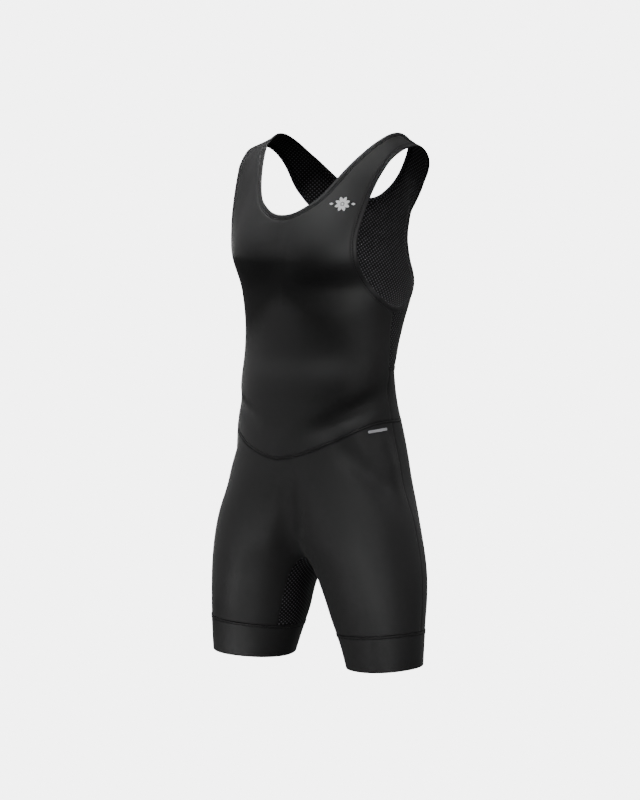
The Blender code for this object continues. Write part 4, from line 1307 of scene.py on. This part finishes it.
def mesh_knit():
    """Polyester mesh knit with open holes: matt and near black. The threads round each hole
    stand up a little, and light round each hole is painted into the colour as dots, in place
    of the light that the holes let through.

    Along and up the turned rows, a hole lies where cos(2 pi along / HOLE_PITCH) times cos(pi
    up / HOLE_ROW) is 1; near it the colour is painted PAINTED_DOT_LIGHT times as light.
    """
    made, tree, shader = cloth_surface("open_mesh_knit", {
        "IOR": 1.5, "Sheen Weight": 0.05, "Sheen Roughness": 0.5, "Specular IOR Level": 0.2})
    _, colour = uneven(tree, shader, "#121213", "#181819", 20.0, 0.6, 0.7)
    u, v = [add_node(tree, "Math", (way, start / MM), operation="SUBTRACT")
            for way, start in zip(across_and_along(tree), FLAT_START)]
    turn = math.radians(NET_TURN)
    u_cos, u_sin, v_cos, v_sin = [
        add_node(tree, "Math", (way, by), operation="MULTIPLY")
        for way in (u, v) for by in (math.cos(turn), math.sin(turn))]
    along = add_node(tree, "Math", (u_cos, v_sin), operation="ADD")
    up = add_node(tree, "Math", (v_cos, u_sin), operation="SUBTRACT")
    waves = []
    for way, turns in ((along, 2 * math.pi / HOLE_PITCH), (up, math.pi / HOLE_ROW)):
        wave = add_node(tree, "Math", (way, turns), operation="MULTIPLY")
        waves.append(add_node(tree, "Math", (wave,), operation="COSINE"))
    both = add_node(tree, "Math", waves, operation="MULTIPLY")
    near_hole = add_node(tree, "Math", (both, 0.5, 0.5), operation="MULTIPLY_ADD")
    # Painted light: the net's colour is made lighter round each hole.
    lit = add_node(tree, "MapRange", (near_hole, *PAINTED_DOT_FADE, 1.0, PAINTED_DOT_LIGHT),
                   interpolation_type="SMOOTHSTEP")
    painted_dot_colour = add_node(tree, "VectorMath", {0: colour, "Scale": lit}, operation="SCALE")
    tree.links.new(painted_dot_colour, shader.inputs["Base Color"])
    bumped(tree, shader, near_hole, 0.0005, 0.5)
    return made


def sewing_thread():
    """Textured polyester thread, darker than the cloth, with the twist of two plies."""
    made, tree, shader = cloth_surface("black_polyester_thread", {
        "IOR": 1.5, "Sheen Weight": 0.05, "Specular IOR Level": 0.3})
    uneven(tree, shader, "#070708", "#0c0c0d", 30.0, 0.5, 0.6)
    bumped(tree, shader, ribs(tree, 1.0, PLY), 0.0001, 0.6)
    return made


def cover_thread():
    """Bulked cover thread laid back and forth over a join: fine slanting ribs."""
    made, tree, shader = cloth_surface("bulked_cover_thread", {
        "IOR": 1.5, "Sheen Weight": 0.12, "Sheen Roughness": 0.4, "Specular IOR Level": 0.45})
    uneven(tree, shader, "#131314", "#171718", 18.0, 0.5, 0.58)
    bumped(tree, shader, ribs(tree, RIB_SLANT, RIB), 0.0001, 0.4)
    return made


def transfer_print(name, dark, light):
    """Heat-pressed elastic print: smooth, satin, with the cloth's grain just showing."""
    made, tree, shader = cloth_surface(name, {"IOR": 1.46, "Specular IOR Level": 0.4})
    place, _ = uneven(tree, shader, dark, light, 60.0, 0.42, 0.5)
    grain = add_node(tree, "TexNoise", {"Vector": place, "Scale": GRAIN_SCALE})
    bumped(tree, shader, grain, 0.00005, 0.3)
    return made


# -------------------------------------------------------------------- building
def mesh_of(name, body, cloth, sharp):
    """A mesh object from points, face arrays and flat places, smooth up to an angle."""
    points, parts, flat = body
    mesh = bpy.data.meshes.new(name)
    mesh.vertices.add(len(points))
    mesh.vertices.foreach_set("co", ((points - HELD_AT) * MM).astype(np.float32).ravel())
    corners = np.concatenate([part.ravel() for part in parts]).astype(np.int32)
    sizes = np.concatenate([np.full(len(part), part.shape[1]) for part in parts])
    mesh.loops.add(len(corners))
    mesh.loops.foreach_set("vertex_index", corners)
    mesh.polygons.add(len(sizes))
    mesh.polygons.foreach_set("loop_start", (np.cumsum(sizes) - sizes).astype(np.int32))
    places = mesh.uv_layers.new(name="UVMap")
    uv = flat[corners] * MM + FLAT_START
    places.data.foreach_set("uv", uv.astype(np.float32).ravel())
    mesh.update(calc_edges=True)
    mesh.validate()
    mesh.polygons.foreach_set("use_smooth", np.ones(len(mesh.polygons), bool))
    mesh.set_sharp_from_angle(angle=math.radians(sharp))
    mesh.materials.append(cloth)
    made = bpy.data.objects.new(name, mesh)
    bpy.context.collection.objects.link(made)
    return made


def worn(name, body, cloth, node=None, sharp=SHARP):
    """A piece of the garment: made, riding on the one body, in place of its CAD node."""
    made = mesh_of(name, body, cloth, sharp)
    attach(made, "root")
    if node:
        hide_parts(node)
    return made


def mirror_body(body):
    """The same body on the other side."""
    points, parts, flat = body
    return mirrored(points), [part[:, ::-1] for part in parts], flat * (-1, 1)


def panel(name, grid, cloth, node):
    """A cloth panel from its left half: laid flat, edged, doubled and given its wall."""
    flat = laid_flat(grid)
    fine = edged(np.concatenate([grid, flat], -1))
    grid, flat = fine[..., :3], fine[..., 3:]
    seam = whole_outline(grid, flat)[0]
    made = worn(name, shell(*both_halves(grid, flat), JERSEY, seam), cloth, node)


def net_piece(name, grid, cloth, node, first_row_centred=False):
    """A net panel with real holes, from its left half, whose first row or column lies on
    the centre line."""
    if first_row_centred:
        flat = laid_flat(grid.transpose(1, 0, 2), 0.0).transpose(1, 0, 2)
    else:
        flat = laid_flat(grid)
    made = worn(name, shell(*netting(grid, flat), NET), cloth, node, NET_SHARP)


def hem_profile():
    """Outline of the hem band, down its face and back up inside: share of its height and
    distance off the form. Two layers lie together; the fold at the hem is round."""
    flat = [(down, DOUBLED / 2) for down in (*np.linspace(0.14, 0.92, 12), 0.955)]
    face = np.array([*HEM_SEWN, *flat, *HEM_FOLD])
    return np.concatenate([face, face[::-1] * (1, -1)])


def hem_band(s):
    """The band round the left leg, and its seam line."""
    ring = np.concatenate([s["ring_front"][:-1], s["ring_back"][:-1], s["ring_gusset"][:-1]])
    hem = leg_ring(HEM, np.array([leg_angle(p) for p in ring]))
    down = around(ring, True)
    down = down * np.sign((down * (hem - ring)).sum(-1, keepdims=True))
    seam = ring + down * SEAM_GAP / 2
    return ribbon(seam, hem - seam, hem_profile()), ring


def around(points, closed):
    """Unit directions square to a line along the form."""
    return sideways(points, points[-1:], points[:1]) if closed else sideways(points)


def cover_seam(name, points, closed, pad, thread, rise=0.0):
    """A flat cover seam along a line: the pad of threads, and a row sewn on each side.
    It lies `rise` higher where the cloth on one side is double."""
    across = around(points, closed)
    profile = [(out, height + rise) for out, height in COVER]
    worn(name, ribbon(points, across, profile, closed, COVER_WAVES), pad)
    rows = [stitches(points, across, side * COVER_NEEDLE, COVER_HEIGHT + rise, closed)
            for side in (1, -1)]
    worn(name + "_needle_rows", joined(rows), thread, sharp=STITCH_SHARP)


def plain_seam(name, lines, thread):
    """Overlocked edges behind the plain seams along these lines, and on the other side."""
    bodies = [ribbon(line, around(line, False), TURNED_IN, False) for line in lines]
    worn(name, joined(bodies + [mirror_body(body) for body in bodies]), thread)


def edging(name, points, across, cloth, thread, node):
    """Folded edging all round an opening with its row of stitches."""
    made = worn(name, ribbon(points, across, EDGING, True, EDGING_WAVES), cloth, node)
    row = stitches(points, across, EDGING_STITCH, EDGING_NEEDLE)
    worn(name + "_stitches", row, thread, sharp=STITCH_SHARP)


def net_facing(s, net):
    """Strips of net inside the edging, round the back of the neck and of each armhole."""
    neck, arm = s["neck"], s["arm"][:-1]
    back = neck[:, 1] > s["shoulder"][:, 1].max()
    ring = np.concatenate([neck[back], mirrored(neck[back][-2::-1])])
    inward = np.concatenate([s["neck_in"][back], mirrored(s["neck_in"][back][-2::-1])])
    turn = np.argmax(~(arm[:, 1] > s["shoulder"][:, 1].max()))
    arm, arm_in = np.roll(arm, -turn, 0), np.roll(s["arm_in"][:-1], -turn, 0)
    back = arm[:, 1] > s["shoulder"][:, 1].max()
    body = ribbon(arm[back], arm_in[back], NET_FACING, False)
    worn("net_facing", joined([ribbon(ring, inward, NET_FACING, False), body,
                               mirror_body(body)]), net)


def rosette():
    """Grids of a plain rosette: eight petals round a disc, and a leaf on each side."""
    petals = [leaf(*PETAL, k * math.pi / 4 + math.pi / 8) for k in range(PETALS)]
    sides = [leaf(*SIDE_LEAF, turn, SIDE_LEAF_POWER) for turn in (0.0, math.pi)]
    return petals + sides + [round_bar(DISC, DISC, 0.0)]


def garment():
    """Makes every piece."""
    s = main_lines()
    jersey, folded, net = stretch_jersey(), folded_jersey(), mesh_knit()
    thread, cover = sewing_thread(), cover_thread()
    panel("front_jersey", front_half(s), jersey, "front_panel")
    panel("back_waist_jersey", back_waist_half(s), jersey, "back_waist_panel")
    panel("shorts_front_jersey", shorts_half(s, "front", -1), jersey, "shorts_front")
    panel("shorts_back_jersey", shorts_half(s, "back", 1), jersey, "shorts_back")
    net_piece("back_net", net_half(s), net, "back_mesh_panel")
    net_piece("gusset_net", gusset_half(s), net, "gusset", True)
    band, ring = hem_band(s)
    arm, arm_in = s["arm"][:-1], s["arm_in"][:-1]
    for side, body, line, hole, inward in (
            ("left", band, ring, arm, arm_in),
            ("right", mirror_body(band), mirrored(ring), mirrored(arm), mirrored(arm_in))):
        made = worn("hem_band_" + side, body, jersey, "leg_band_" + side)
        cover_seam("hem_seam_" + side, line, True, cover, thread, HEM_RISE)
        edging("armhole_edging_" + side, hole, inward, folded, thread,
               "armhole_binding_" + side)
    edging("neck_edging", ring_of(s["neck"]), ring_of(s["neck_in"]), folded, thread,
           "neck_binding")
    net_facing(s, net)
    waist = ring_of(np.concatenate([s["waist_front"], s["waist_back"][-2::-1]]))
    cover_seam("waist_seam", waist, True, cover, thread)
    behind = np.concatenate([s["net"][::-1], mirrored(s["net"][1:])])
    cover_seam("net_seam", behind, False, cover, thread)
    top = stitches(s["shoulder"], around(s["shoulder"], False), SHOULDER_STITCH,
                   JERSEY / 2 + STITCH_OFF, False)
    worn("shoulder_stitches", joined([top, mirror_body(top)]), thread,
         sharp=STITCH_SHARP)
    side = np.concatenate([s["side_leg"], s["side_waist"][1:], s["side_net"][1:]])
    plain_seam("overlocked_seams", (side, s["shoulder"], s["gusset_front"], s["gusset_back"]),
               cover)
    white = transfer_print("white_transfer_print", "#e2e2e4", "#ececee")
    grey = transfer_print("grey_transfer_print", "#b2b2b6", "#c2c2c6")
    lie = JERSEY / 2 + PRINT_THICK / 2 - PRINT_SUNK
    worn("chest_rosette", printed(rosette(), ROSETTE_AT, lie), white)
    bar = [round_bar(BAR_LONG, BAR_WIDE, BAR_TURN)]
    worn("waist_bar", printed(bar, BAR_AT, lie), grey)


# ------------------------------------------------------------- floor and light
def glow(name, code, strength):
    """Pale matt surface with its own even light, so that the backdrop stays plain."""
    made, _, shader = cloth_surface(name, {"Roughness": 0.9, "Specular IOR Level": 0.1})
    shader.inputs["Base Color"].default_value = linear("#101010")
    shader.inputs["Emission Color"].default_value = linear(code)
    shader.inputs["Emission Strength"].default_value = strength
    return made


def floor():
    """Plain pale floor, far below the garment, which hangs as if it were worn."""
    corners = [(x * FLOOR_HALF, y * FLOOR_HALF, FLOOR_Z)
               for x, y in ((-1, -1), (1, -1), (1, 1), (-1, 1))]
    mesh = bpy.data.meshes.new("floor")
    mesh.from_pydata(corners, [], [(0, 1, 2, 3)])
    mesh.materials.append(glow("pale_floor", "#ffffff", PALE))
    made = bpy.data.objects.new("floor", mesh)
    bpy.context.collection.objects.link(made)
    made.visible_diffuse = made.visible_glossy = made.visible_shadow = False


def studio():
    """World that is pale to the camera and lights the garment like large soft boxes.

    Light from a direction is the sum of strength times its cosine to a power, over LIGHTS.
    """
    world = bpy.data.worlds.new("studio")
    bpy.context.scene.world = world
    world.use_nodes = True
    tree = world.node_tree
    tree.nodes.clear()
    place = add_node(tree, "TexCoord", out="Generated")
    light = 0.0
    for direction, narrow, strength in LIGHTS:
        facing = add_node(tree, "VectorMath", (place, Vector(direction).normalized()), "Value",
                          operation="DOT_PRODUCT")
        lit = add_node(tree, "Math", (facing, 0.0), operation="MAXIMUM")
        lobe = add_node(tree, "Math", (lit, narrow), operation="POWER")
        light = add_node(tree, "Math", (lobe, strength, light), operation="MULTIPLY_ADD")
    seen = add_node(tree, "LightPath", out="Is Camera Ray")
    both = add_node(tree, "Mix", {0: seen, 2: light, 3: PALE}, data_type="FLOAT")
    back = add_node(tree, "Background", {"Color": linear("#ffffff"), "Strength": both})
    add_node(tree, "OutputWorld", (back,))
    for place, aim, radius, half, watts in SPOTS:
        lamp = bpy.data.lights.new("soft_spot", "SPOT")
        lamp.shadow_soft_size, lamp.energy = radius, watts
        lamp.spot_size, lamp.spot_blend = math.radians(2 * half), 1.0
        made = bpy.data.objects.new("soft_spot", lamp)
        made.location = place
        made.rotation_euler = (Vector(aim) - Vector(place)).to_track_quat("-Z", "Y").to_euler()
        bpy.context.collection.objects.link(made)


def camera():
    """Long lens, a little above the chest, towards the wearer's left front."""
    lens = bpy.data.cameras.new("camera")
    lens.lens, lens.sensor_width, lens.clip_end = LENS, SENSOR, CAMERA_REACH
    made = bpy.data.objects.new("camera", lens)
    made.location = CAMERA_AT
    made.rotation_euler = (math.radians(CAMERA_TILT), 0.0, math.radians(CAMERA_TURN))
    bpy.context.collection.objects.link(made)
    bpy.context.scene.camera = made


camera()
garment()
floor()
studio()
bpy.context.view_layer.update()
